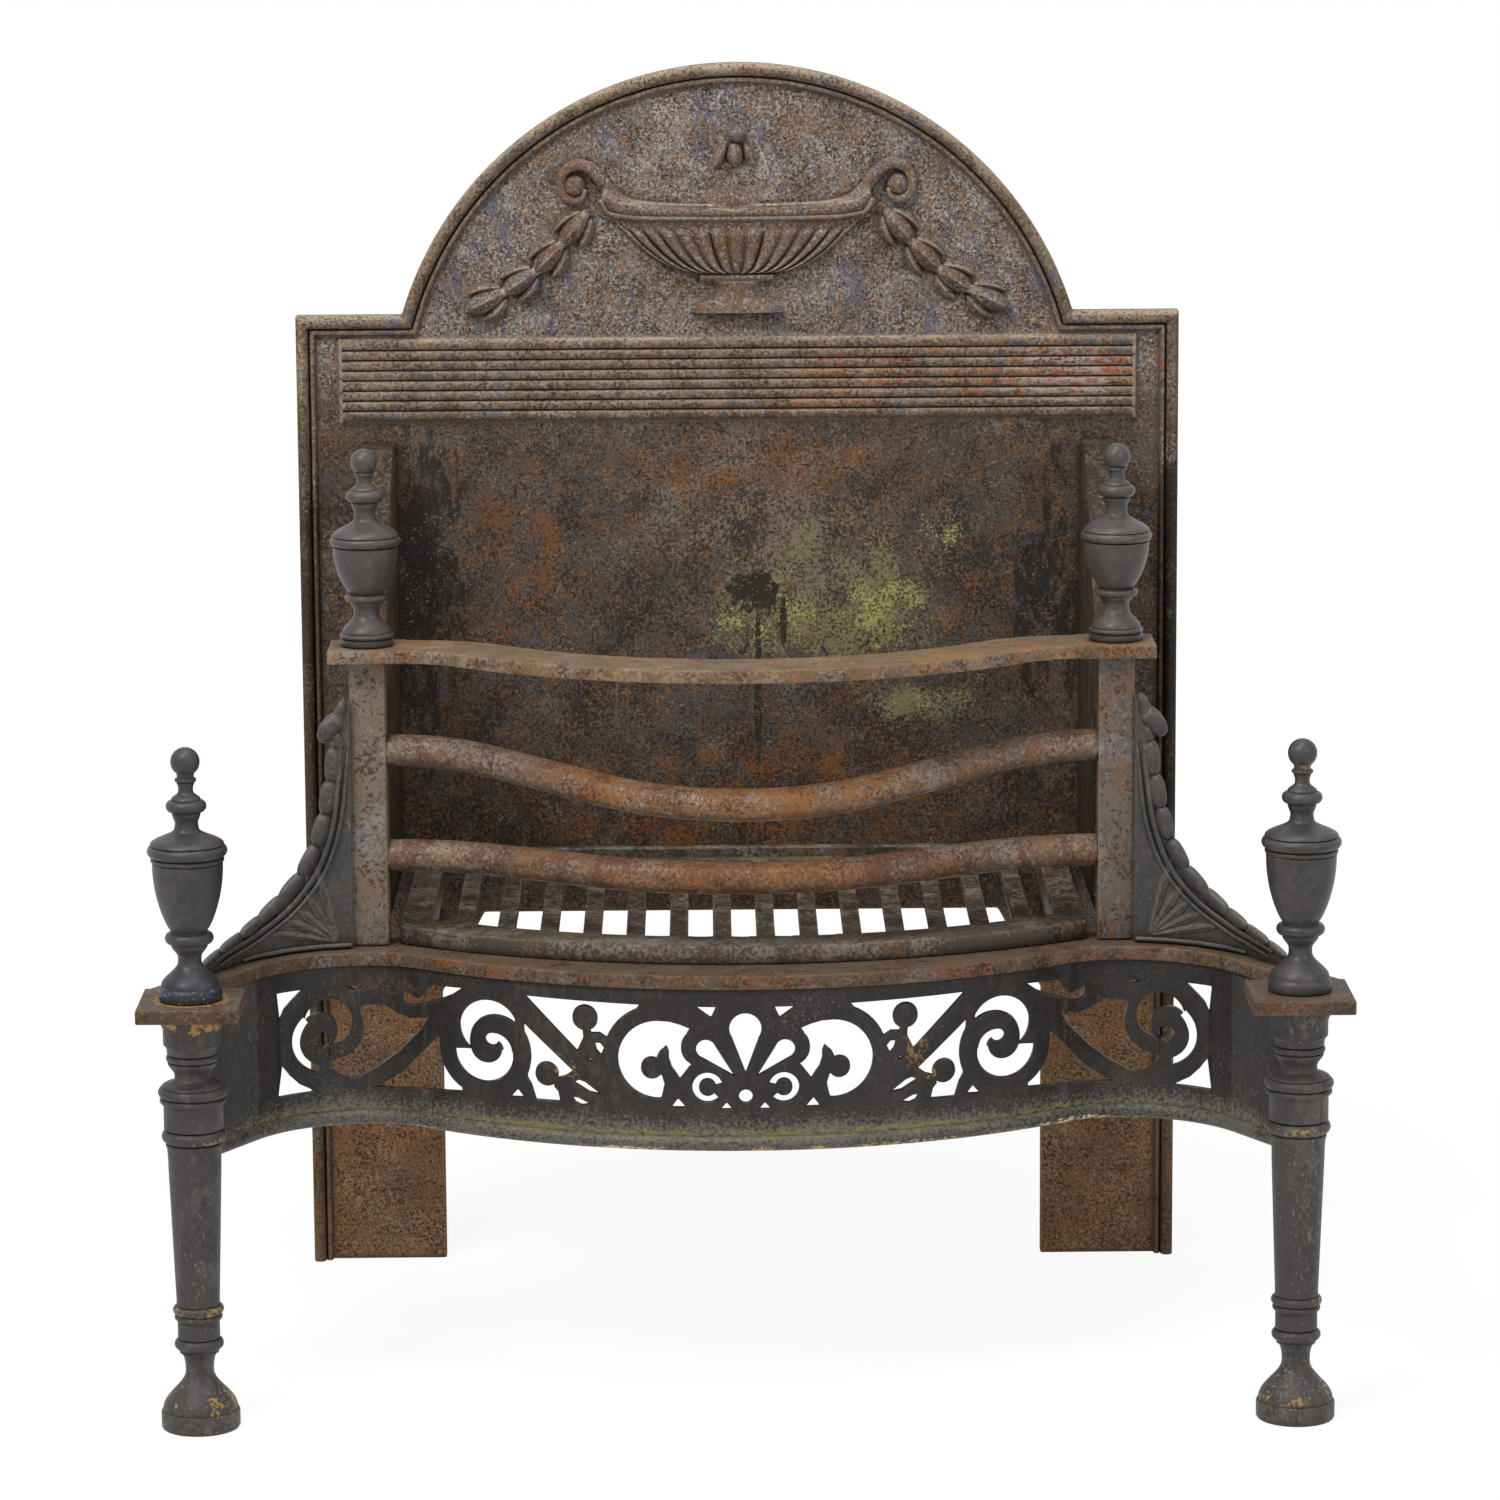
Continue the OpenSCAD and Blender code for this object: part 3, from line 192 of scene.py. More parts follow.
def weathered(name, ground, coats, rough=(0.55, 0.85), pits=(2.2, 0.3), lumps=(16, 0.6), gloss=0.16):
    """iron of a ground colour under its coats, with fine pits and wide lumps (size and depth in mm). Real
    rust has finer flecks and pits than these, which are as coarse as the photograph's pixels need."""
    finish = bpy.data.materials.new(name)
    tree = cleared(finish)
    spot = add(tree, "ShaderNodeTexCoord").outputs["Object"]
    skin = colour(ground)
    for k, layer in enumerate(coats):
        at = add(tree, "ShaderNodeMapping", {"Vector": spot, "Location": (k * 0.37, k * 0.11, k * 0.23),
                                             "Scale": layer.get("drawn", (1, 1, 1))})
        amount = add(tree, "ShaderNodeTexNoise", {"Vector": at, "Scale": 1000 / layer["size"], "Detail": 4.0,
                                                  "Roughness": 0.62})
        low, high = layer["cover"]
        if layer["patch"]:
            size, weight = layer["patch"]
            wide = add(tree, "ShaderNodeTexNoise", {"Vector": at, "Scale": 1000 / size, "Detail": 3.0})
            amount = add(tree, "ShaderNodeMath", {0: wide, 1: weight, 2: amount}, operation="MULTIPLY_ADD")
            low, high = low + weight / 2, high + weight / 2
        if "over" in layer:
            inside = near(tree, spot, layer["over"], layer.get("edge", (0.4, 1.2)))
            amount = add(tree, "ShaderNodeMath", {0: amount, 1: inside}, operation="ADD")
        mask = add(tree, "ShaderNodeMapRange", {"Value": amount, "From Min": low, "From Max": high,
                                                "To Max": layer["most"]}, interpolation_type="SMOOTHSTEP")
        limits = []
        if "lies" in layer:
            way = add(tree, "ShaderNodeNewGeometry").outputs["Normal"]
            slope = add(tree, "ShaderNodeSeparateXYZ", {0: way}).outputs["Z"]
            limits.append(add(tree, "ShaderNodeMapRange", {"Value": slope, "From Min": 0.25 * layer["lies"],
                                                           "From Max": 0.9 * layer["lies"]}))
        # corners: grime and painted shade where the iron closes in
        if "corners" in layer:
            limits.append(shut_in(tree, layer["corners"], 0.35, samples=6))
        # ridges: wear and a painted highlight on the edges that stand proud
        if "ridges" in layer:
            limits.append(shut_in(tree, layer["ridges"], 0.45, samples=4, inside=True))
        for limit in limits:
            mask = add(tree, "ShaderNodeMath", {0: mask, 1: limit}, operation="MULTIPLY")
        both = {0: mask, 6: skin, 7: colour(layer["code"])}
        skin = add(tree, "ShaderNodeMix", both, data_type="RGBA").outputs[2]
    fine = add(tree, "ShaderNodeTexNoise", {"Vector": spot, "Scale": 1000 / pits[0], "Detail": 5.0,
                                            "Roughness": 0.7})
    wavy = add(tree, "ShaderNodeTexNoise", {"Vector": spot, "Scale": 1000 / lumps[0], "Detail": 3.0})
    soft = add(tree, "ShaderNodeBump", {"Height": wavy, "Strength": 1.0, "Distance": lumps[1] / 1000})
    bump = add(tree, "ShaderNodeBump", {"Height": fine, "Strength": 1.0, "Distance": pits[1] / 1000,
                                        "Normal": soft})
    dull = add(tree, "ShaderNodeMapRange", {"Value": fine, "From Min": 0.35, "From Max": 0.65,
                                            "To Min": rough[1], "To Max": rough[0]})
    iron = add(tree, "ShaderNodeBsdfPrincipled", {"Base Color": skin, "Roughness": dull, "Normal": bump,
                                                  "Specular IOR Level": gloss})
    add(tree, "ShaderNodeOutputMaterial", {"Surface": iron})
    return finish


def settle(bm, name, finish, node, body="basket", corner=32):
    """closes a piece made in millimetres, turns it to metres and hands it to the frame"""
    bmesh.ops.remove_doubles(bm, verts=bm.verts, dist=0.005)
    bmesh.ops.recalc_face_normals(bm, faces=bm.faces)
    bmesh.ops.scale(bm, vec=(0.001, 0.001, 0.001), verts=bm.verts)
    mesh = bpy.data.meshes.new(name)
    bm.to_mesh(mesh)
    bm.free()
    mesh.shade_smooth()
    mesh.set_sharp_from_angle(angle=radians(corner))
    mesh.materials.append(finish)
    piece = bpy.data.objects.new(name, mesh)
    scene.collection.objects.link(piece)
    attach(piece, body)
    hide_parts(node)


def bent_grid(bm, across, along, place):
    """a grid whose points are moved to where place(i, j) says, with its seams and ends closed"""
    made = bmesh.ops.create_grid(bm, x_segments=across, y_segments=along, size=0.5)["verts"]
    for v in made:
        v.co = place(round((v.co.x + 0.5) * across), round((v.co.y + 0.5) * along))
    bmesh.ops.remove_doubles(bm, verts=made, dist=0.005)
    bmesh.ops.holes_fill(bm, edges=[e for e in bm.edges if e.is_boundary], sides=0)


def draw_out(bm, vec):
    """gives a flat outline its thickness along vec"""
    made = bmesh.ops.extrude_face_region(bm, geom=bm.faces[:])["geom"]
    bmesh.ops.translate(bm, vec=vec, verts=[g for g in made if isinstance(g, bmesh.types.BMVert)])


def arrises(bm, angle):
    """the edges at which two faces turn by more than an angle in degrees"""
    return [e for e in bm.edges if len(e.link_faces) == 2 and e.calc_face_angle() > radians(angle)]


def round_over(bm, edges, reach, steps=3, clamp=False):
    """rounds edges over by a reach in millimetres"""
    bmesh.ops.bevel(bm, geom=edges, offset=reach, offset_type="OFFSET", affect="EDGES", segments=steps,
                    profile=0.5, material=-1, clamp_overlap=clamp)


def level(z, high):
    """the fireback at one height, as a place for a coat"""
    return (0, 227, z), (1500, 900, high)


def on_face(x, z, wide, high):
    """a place on the fireback's front alone"""
    return (x, field_y, z), (wide, 7, high)


# Burnt casting: to the eye a fine dry mottle, pale brown and blue-grey at the head and nearly black low on
# its field, with orange rust. A yellow-green bloom grows round an old oil splash, and the legs are brown.
head, field, low = level(1000, 361), level(250, 400), level(0, 300)
burnt_skin = weathered("burnt_cast_iron", "49433e", [
    coat("615850", 2.4, (0.48, 0.58), 0.85, (30, 0.5)),
    coat("4b4c4f", 5, (0.54, 0.62), 0.6, (40, 0.9), drawn=(1, 1, 0.4), over=[field], edge=(0.85, 1.05)),
    coat("837566", 2.2, (0.43, 0.55), 0.8, (26, 0.4), over=[on_face(10, 580, 170, 120)], edge=(0.3, 1.2)),
    coat("32251b", 2.4, (0.44, 0.56), 0.75, (30, 0.4), over=[on_face(0, 335, 330, 95)], edge=(0.7, 1.1)),
    coat("2c2623", 2.6, (0.54, 0.62), 0.8, (40, 0.8), drawn=(1, 1, 0.7), over=[field], edge=(0.85, 1.05)),
    coat("766b61", 5, (0.38, 0.48), 1.0, (40, 0.5), over=[head], edge=(0.93, 1.12)),
    coat("98918c", 2.2, (0.49, 0.57), 0.9, (18, 0.3), over=[head], edge=(0.9, 1.08)),
    coat("5a442f", 2.1, (0.51, 0.58), 0.85, (20, 0.3), over=[head], edge=(0.9, 1.08)),
    coat("50586a", 4, (0.55, 0.6), 0.7, (24, 0.7), drawn=(1, 1, 0.35), over=[head], edge=(0.9, 1.1)),
    coat("65492e", 2.3, (0.55, 0.62), 0.75, (34, 0.7)),
    coat("89613b", 2.2, (0.59, 0.65), 0.7, (14, 0.6)),
    coat("7b5838", 3, (0.36, 0.5), 0.9, (60, 0.5), over=[low], edge=(0.8, 1.1)),
    coat("967a5e", 2.3, (0.53, 0.61), 0.8, (30, 0.4), over=[low], edge=(0.8, 1.0)),
    coat("7b4f27", 2.2, (0.53, 0.59), 0.82, (24, 0.8),
         over=[on_face(-165, 535, 80, 120), on_face(0, 615, 210, 44), on_face(20, 350, 330, 110)]),
    # painted shade: a near-black band down the fireback beside each cheek
    coat("1f2023", 8, (0.42, 0.56), 0.8, (40, 0.8), drawn=(1, 1, 0.4),
         over=[on_face(-238, 500, 60, 260), on_face(238, 500, 60, 260)]),
    coat("807c57", 2.2, (0.39, 0.52), 0.88, (24, 0.5),
         over=[on_face(66, 505, 150, 112), on_face(140, 430, 90, 26)], edge=(0.3, 1.15)),
    coat("a9aa62", 2, (0.5, 0.59), 0.84, (22, 0.7), edge=(0.3, 1.15),
         over=[on_face(22, 500, 90, 62), on_face(149, 558, 34, 46), on_face(108, 502, 84, 50),
               on_face(150, 432, 60, 20)]),
    coat("2a2922", 6, (0.36, 0.42), 0.95, edge=(0.7, 1.25),
         over=[on_face(11, 515, 23, 19), on_face(14, 440, 3.4, 76), on_face(33, 494, 3.2, 27)]),
    coat("2e2017", 2, (0.54, 0.59), 0.85, (24, 0.3)),
    coat("b0aaa3", 1.8, (0.59, 0.64), 0.75, (24, 0.3), over=[head], edge=(0.9, 1.0)),
    coat("85796b", 1.8, (0.6, 0.65), 0.7, (24, 0.3)),
    coat("6a4a30", 2.4, (0.45, 0.56), 0.7, (16, 0.4), over=[((0, 216, 790), (250, 9.5, 90))],
         edge=(0.8, 1.15)),
    # wear and a painted highlight on the ridges
    coat("b0a494", 3, (0.34, 0.5), 0.75, ridges=2.5),
    # grime and painted shade in the corners
    dirt_and_shade("2f2015", 5.5, 0.9, 5),
], pits=(2.2, 0.4), lumps=(14, 0.8))

# Rusted rim and reeds: browner, tan where they catch dust and nearly black low down, with orange and pale
# streaks along the reeds at the right.
rim_skin = weathered("rusted_cast_rim", "63513f", [
    coat("85725c", 3, (0.42, 0.54), 0.9, (40, 0.5), over=[head], edge=(0.95, 1.1)),
    coat("958b82", 2.4, (0.54, 0.62), 0.75, (24, 0.5)),
    coat("4e3b2b", 2.4, (0.54, 0.62), 0.8, (26, 0.6)),
    coat("525a68", 4, (0.6, 0.66), 0.7, (30, 0.8), drawn=(0.8, 1, 0.6)),
    coat("35291f", 3, (0.36, 0.52), 0.8, (40, 0.5), over=[level(250, 396)], edge=(0.85, 1.05)),
    coat("1d1712", 3, (0.36, 0.52), 0.85, (40, 0.5), over=[((325, 227, 400), (30, 90, 250))],
         edge=(0.8, 1.1)),
    coat("6d5239", 3, (0.38, 0.52), 0.85, (60, 0.5), over=[level(0, 200)], edge=(0.8, 1.1)),
    coat("9c4f25", 2.6, (0.5, 0.58), 0.85, (40, 0.8), drawn=(0.25, 1, 1),
         over=[((195, 222, 680), (200, 90, 44)), ((60, 222, 660), (100, 90, 16))]),
    coat("9c9189", 2.6, (0.53, 0.62), 0.75, (40, 0.6), drawn=(0.25, 1, 1),
         over=[((240, 222, 675), (80, 90, 40))]),
    coat("b39f88", 3, (0.36, 0.52), 0.85, (30, 0.5), lies=1),
    coat("2e2017", 2, (0.56, 0.61), 0.8, (24, 0.3)),
    # wear and a painted highlight on the ridges
    coat("a89c8c", 3, (0.34, 0.5), 0.5, ridges=2.5),
    # grime and painted shade in the corners
    dirt_and_shade("2a1c12", 3.4, 0.9, 5),
], pits=(2.2, 0.4), lumps=(14, 0.8))

# plate: half its outline on each side, the arch turned about its centre, filled and drawn forward
leg_gap, haunch, leg_top = 228, (33, 62), 271
bm = bmesh.new()
right = [(leg_gap - haunch[0], leg_top), (leg_gap, leg_top - haunch[1]), (leg_gap, 0), (fb_half, 0),
         (fb_half, shoulder), (arch_x, shoulder)]
chain = [bm.verts.new((x, back_y, z)) for x, z in right]
other = [bm.verts.new((-x, back_y, z)) for x, z in right]
for row in (chain, other):
    for pair in zip(row, row[1:]):
        bm.edges.new(pair)
bm.edges.new((chain[0], other[0]))
rise = asin((shoulder - arch_z) / arch_r)
bmesh.ops.spin(bm, geom=[chain[-1]], cent=(0, back_y, arch_z), axis=(0, -1, 0), angle=pi - 2 * rise, steps=72)
bmesh.ops.remove_doubles(bm, verts=bm.verts, dist=0.01)
bmesh.ops.contextual_create(bm, geom=bm.edges[:])
draw_out(bm, (0, field_y - back_y, 0))
round_over(bm, arrises(bm, 60), 1.4, clamp=True)
settle(bm, "fireback_plate", burnt_skin, "fireback")

# border: a round bead at the edge, a hollow, and a thin bead inside it
section = [(0.4, -2)] + [(5 - 4.6 * cos(pi * k / 12), 3 + 5.8 * sin(pi * k / 12)) for k in range(13)]
section += [(9.9, 1.4)] + [(12.3 - 2.2 * cos(pi * k / 8), 1.9 + 3 * sin(pi * k / 8)) for k in range(9)]
section += [(14.9, -0.2), (14.7, -2), (0.4, -2)]
arch_steps = 64


def border(i, j):
    """point i of the section, at step j from the right foot over the arch to the left foot"""
    inset, proud = section[i]
    x, z, r = fb_half - inset, shoulder - inset, arch_r - inset
    if j <= 1:
        spot = (x, (0, z)[j])
    elif j >= arch_steps + 3:
        spot = (-x, (z, 0)[j - arch_steps - 3])
    else:
        start = asin((z - arch_z) / r)
        t = start + (pi - 2 * start) * (j - 2) / arch_steps
        spot = (r * cos(t), arch_z + r * sin(t))
    return Vector((spot[0], field_y - proud, spot[1]))


bm = bmesh.new()
bent_grid(bm, len(section) - 1, arch_steps + 4, border)
settle(bm, "fireback_border", rim_skin, "fireback")

# reeds: eight flattened rounds with a narrow upright at either end
reed_z, reed_pitch, reed_half, reed_n = 647, 7.55, 296, 8
reeds_top = reed_z + reed_n * reed_pitch
ripple = [(reed_z + reed_pitch * (k + 0.5) - 3.75 * cos(radians(a)), 0.2 + 4.6 * sin(radians(a)) ** 0.6)
          for k in range(reed_n) for a in (8, 35, 62, 90, 118, 145, 172)]
ripple = [(reed_z - 1, -2), (reed_z - 1, 0.6)] + ripple + [(reeds_top + 1, 0.6), (reeds_top + 1, -2)]
bm = bmesh.new()
bm.faces.new([bm.verts.new((-reed_half, field_y - proud, z)) for z, proud in ripple])
draw_out(bm, (2 * reed_half, 0, 0))
for side in (-1, 1):
    upright = bmesh.ops.create_cube(bm, size=1)["verts"]
    bmesh.ops.scale(bm, vec=(2.6, 8.6, reed_n * reed_pitch + 2.6), verts=upright)
    bmesh.ops.translate(bm, vec=(side * reed_half, field_y - 0.6, (reed_z + reeds_top) / 2), verts=upright)
    round_over(bm, [e for e in bm.edges if e.verts[0] in upright], 1)
settle(bm, "fireback_reeds", rim_skin, "fireback")


def through(points, per):
    """a smooth line through rows of numbers, with per steps from one to the next"""
    rows = [points[0]] + list(points) + [points[-1]]
    line = []
    for k in range(1, len(rows) - 2):
        around = list(zip(rows[k - 1], rows[k], rows[k + 1], rows[k + 2]))
        for t in (s / per for s in range(per)):
            line.append([0.5 * (2 * b + (c - a) * t + (2 * a - 5 * b + 4 * c - d) * t * t
                                + (3 * b - a - 3 * c + d) * t ** 3) for a, b, c, d in around])
    return line + [list(points[-1])]


def rod(bm, line, radii, up, sides=14, flat=1.0):
    """a round rod along a line; up is across the line, and flat scales the rod along it"""
    line = [Vector(p) for p in line]
    up = Vector(up).normalized()

    def place(i, j):
        ahead = (line[min(j + 1, len(line) - 1)] - line[max(j - 1, 0)]).normalized()
        out = ahead.cross(up).normalized()
        a = 2 * pi * i / sides
        return line[j] + radii[j] * (cos(a) * out + sin(a) * flat * up)

    bent_grid(bm, sides, len(line) - 1, place)


def lump(bm, sides, rings, shape, lean, at):
    """a ball whose points shape(x, y, z) moves, leaned by an angle in degrees and set in its place"""
    made = bmesh.ops.create_uvsphere(bm, u_segments=sides, v_segments=rings, radius=1)["verts"]
    for v in made:
        v.co = shape(*v.co)
    bmesh.ops.rotate(bm, verts=made, matrix=Matrix.Rotation(radians(lean), 3, "Y"))
    bmesh.ops.translate(bm, vec=at, verts=made)


# urn: gadrooned bowl with a plain band, a rim between two ribs, and handles that roll into scrolls
bm = bmesh.new()
bowl_across, bowl_down = 180, 30
bowl_top, bowl_low, curve_top, curve_h = 799, 756, 784.5, 38
stem_half, swell, lip_slope, plain_deep, gadroon_deep = 27, 63, 2.4, 6.6, 5.4
forward = (0, -1, 0)


def bowl(i, j):
    """half a round bowl: 13 gadroons fan out of its foot and end under the band. The first and the last row
    lie behind the plate, so that what closes the grid is hidden."""
    z = bowl_top - (bowl_top - bowl_low) * min(max(j - 1, 0), bowl_down) / bowl_down
    t = (z - bowl_low) / curve_h
    wide = stem_half + swell * sqrt(min(t, 1)) + lip_slope * max(0, t - 1) * curve_h
    angle = radians(90 * (2 * i / bowl_across - 1))
    face = cos(angle)
    depth = 0.4 + plain_deep * face ** 0.7 * (0.72 + 0.28 * min(t, 1))
    flute = 6.2 * sin(angle) + 0.95 * sin(angle) ** 3 * abs(sin(angle))
    u = 2 * ((flute + 0.5) % 1) - 1
    top = max(0, (z - curve_top) / 5)
    low = max(0, (758 - z) / 3)
    round_in = sqrt(max(0, 1 - u * u * 0.99 - top * top)) * (1 - 0.5 * low)
    depth += gadroon_deep * round_in * min(1, face * 2.5)
    if j in (0, bowl_down + 2):
        depth = -1
    return Vector((wide * sin(angle), field_y - depth, z))


def whole(half):
    """a line from the left, carried on as its mirror image to the right"""
    return half + [(-p[0],) + tuple(p[1:]) for p in half[-2::-1]]


def rim(i, j):
    """the rim's face swells between its two ribs"""
    t = i / 8
    a, b = low_line[j], high_line[j]
    proud = 7 + 3.6 * sin(pi * t) if 0 < i < 8 else -1
    return Vector((a[0] + (b[0] - a[0]) * t, field_y - proud, a[1] + (b[1] - a[1]) * t))


bent_grid(bm, bowl_across, bowl_down + 2, bowl)
lower_rib = [(-101, 811.5), (-98.5, 806), (-94.5, 801.2), (-82, 798.8), (-63, 797.5), (0, 796.9)]
upper_rib = [(-96, 823.3), (-92, 818.2), (-85.6, 813.4), (-67, 808.6), (-33.5, 806.4), (0, 806.0)]
low_line = through(whole(lower_rib), 6)
high_line = through(whole(upper_rib), 6)
bent_grid(bm, 8, len(low_line) - 1, rim)
rod(bm, [(x, field_y - 7.2, z) for x, z in low_line], [2.2] * len(low_line), forward, 10, 1.4)
# each handle wraps its scroll, then runs down and thins into the upper rib: x, height and radius
handle = [(-112.6, 819, 1.6), (-114.6, 812.6, 2.6), (-121, 810.6, 3.2), (-128, 814.6, 3.5),
          (-130.4, 823, 3.7), (-127, 832.4, 3.9), (-119, 837.2, 4.2), (-109.5, 835.4, 4.8),
          (-101.6, 828, 5.1), (-94.6, 818.6, 4.8), (-84, 811.2, 3.6), (-67, 807.6, 2.4),
          (-33.5, 806.2, 1.9), (0, 805.9, 1.8)]
swept = through(whole(handle), 5)
rod(bm, [(x, field_y - 4.6 - 0.4 * r, z) for x, z, r in swept], [r for x, z, r in swept], forward, 12, 0.95)
for side in (-1, 1):
    lump(bm, 24, 14, lambda x, y, z: (8.6 * x, 8.6 * y, 8.6 * z), 0, (side * 120.5, field_y - 2.4, 821.5))
# bead collar, waisted stem and a foot with a sharp lower edge
for z, proud, sides, half in ((753, 4.6, 12, [(-27.4, 1.6), (-26.6, 2.7), (-20, 2.9), (0, 3)]),
                              (757.4, 4, 10, [(-26, 1.2), (-20, 2), (0, 2.2)])):
    line = whole(half)
    rod(bm, [(x, field_y - proud, z) for x, r in line], [r for x, r in line], forward, sides, 1.3)
foot = [(20, 751.2, -1), (20, 751, 6.4), (15.5, 747, 6.2), (14.2, 742, 6), (17, 738.5, 6.6), (30, 735.8, 8.6),
        (36, 733, 11), (36.4, 728.6, 12.4), (36.2, 727, 12), (36, 726.9, -1)]


def foot_face(i, j):
    """the foot from half widths, heights and how proud it stands, rounded off at its sides"""
    half, z, proud = foot[j]
    t = i / 12 - 1
    return Vector((half * t, field_y + 1 - (proud + 1) * (1 - abs(t) ** 6), z))


bent_grid(bm, 24, len(foot) - 1, foot_face)
# low lid behind the rim
lump(bm, 32, 16, lambda x, y, z: (22 * x, 10 * y, 11 * z), 0, (-2, field_y, 808.5))
settle(bm, "fireback_urn", burnt_skin, "fireback", corner=50)


def leaf(bm, x, z, angle, long, wide, deep, proud=0.0, rib=0.0, curl=0.0):
    """one plump cast leaf on the fireback with its tip towards angle; curl draws both ends to one side"""
    def cupped(across, out, ahead):
        thin = 1 - 0.5 * max(0, ahead) ** 2 - 0.12 * max(0, -ahead)
        ridge = rib * exp(-(across / 0.22) ** 2) * (1 - ahead * ahead) if out < 0 else 0
        aside = across * wide / 2 * thin + curl * ahead * ahead
        return aside, (out - ridge) * deep - proud, ahead * long / 2

    lump(bm, 14, 12, cupped, 90 - angle, (x, field_y, z))


# swags: four husks hang from each handle, each a broad ribbed leaf between two that curl outward, with a
# berry at its root. A bud of four leaves stands above the lid.
bm = bmesh.new()
knots = [(111.6, 801.2), (129.5, 779), (149.5, 758.5), (172.6, 743.3), (200.9, 729.6)]
for side in (-1, 1):
    for (x, z), (x1, z1) in zip(knots, knots[1:]):
        step = hypot(x1 - x, z1 - z)
        c, s = side * (x1 - x) / step, (z1 - z) / step
        way = degrees(atan2(s, c))
        leaf(bm, side * x + c * (step / 2 + 1.5), z + s * (step / 2 + 1.5), way, step + 3, 17, 8.6, 2, 0.3)
        for bow, off, on, long, wide, deep in ((side, 9.4, 13, 26, 8.4, 6.4), (-side, 10.6, 12, 25, 10, 6.6)):
            at_x, at_z = side * x + c * on - bow * off * s, z + s * on + bow * off * c
            leaf(bm, at_x, at_z, way + bow * 16, long, wide, deep, 0.8, 0.2, bow * 2.6)
        leaf(bm, side * x + c, z + s, way, 9, 7.6, 6.4, 1)
leaf(bm, 0.2, 858.6, 90, 12, 14.4, 7, 1.4)
leaf(bm, -1, 843.6, 270, 19, 12.6, 7.4, 1.2, 0.2)
for side in (-1, 1):
    leaf(bm, -1 + side * 11.4, 842.8, 270 + side * 25, 20, 9, 5.6, 0.6, 0.2)
settle(bm, "fireback_swags", burnt_skin, "fireback", corner=70)

# ---- Cheeks ----
# A cast channel at each side of the fire, its back flange bolted to the fireback.
# Its front face is scaled pale by the heat; its inside is black with soot, and painted shade darkens its
# corners.


def softened(node, arris, steps=2, corner=40, necks=()):
    """a merged copy of a CAD solid with its arrises rounded over by some millimetres. An arris beside a strip
    too narrow for that stays sharp, and so does one at a thin neck (x, z and reach)."""
    bm = bmesh.new()
    bm.from_mesh(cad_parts[node].data)
    bmesh.ops.scale(bm, vec=(1000, 1000, 1000), verts=bm.verts)
    bmesh.ops.remove_doubles(bm, verts=bm.verts, dist=0.003)
    bmesh.ops.dissolve_limit(bm, angle_limit=radians(0.4), verts=bm.verts, edges=bm.edges)
    edges = [e for e in arrises(bm, corner)
             if all(f.calc_area() > 2.2 * arris * e.calc_length() for f in e.link_faces)
             and all(hypot(abs(v.co.x) - x, v.co.z - z) > reach for v in e.verts for x, z, reach in necks)]
    round_over(bm, edges, arris, steps)
    return bm


# Sooted casting: dull black-brown to the eye, with flakes of pale scale and a little rust and lichen.
cheek_skin = weathered("sooted_cast_iron", "342c26", [
    coat("54483c", 4, (0.52, 0.64), 0.8, (26, 0.8), drawn=(1, 1, 0.5)),
    coat("7d7265", 3, (0.59, 0.68), 0.7, (20, 0.7)),
    coat("5d432b", 2.6, (0.54, 0.63), 0.7, (20, 0.6)),
    coat("211c19", 3, (0.55, 0.64), 0.8, (20, 0.6)),
    coat("7a7d4c", 3, (0.53, 0.63), 0.6, (16, 1.0), over=[((262, 0, 560), (40, 120, 60))]),
    # grime and painted shade deep in the channel's corners
    dirt_and_shade("1e1a17", 14, size=5),
])
for hand in ("left", "right"):
    cheek = "cheek_" + hand
    settle(softened(cheek, 1.2), "cheek_casting_" + hand, cheek_skin, cheek)

# ---- Rails ----
# Two flat wrought bars bent edgewise to a serpentine: the top one ends in square plates over the posts,
# the lower one runs out to a square plate on each leg. The posts' and legs' studs hold them.

# Rusted wrought bar: a warm tan and brown, greyer where it is worn, dusty on top and pale at its arrises.
rail_skin = weathered("rusted_wrought_rail", "6f5b46", [
    coat("8f7a63", 3, (0.49, 0.61), 0.85, (30, 0.7)),
    coat("83817d", 3, (0.57, 0.66), 0.7, (18, 0.9)),
    coat("8a5c38", 2.8, (0.54, 0.62), 0.7, (22, 0.8)),
    coat("4a2f20", 2.6, (0.55, 0.62), 0.8, (20, 0.7)),
    coat("665d4d", 4, (0.4, 0.58), 0.75, (40, 0.8), lies=1),
    coat("8a5f2f", 3.4, (0.52, 0.64), 0.65, (50, 0.8), drawn=(0.4, 0.6, 1), lies=1),
    # wear and a painted highlight on the arrises
    coat("ab9070", 4, (0.44, 0.58), 0.7, (60, 0.5), ridges=2.5),
    # grime and painted shade in the corners
    dirt_and_shade("2e2118", 4),
], rough=(0.42, 0.75), pits=(2.6, 0.35), lumps=(20, 0.8), gloss=0.25)
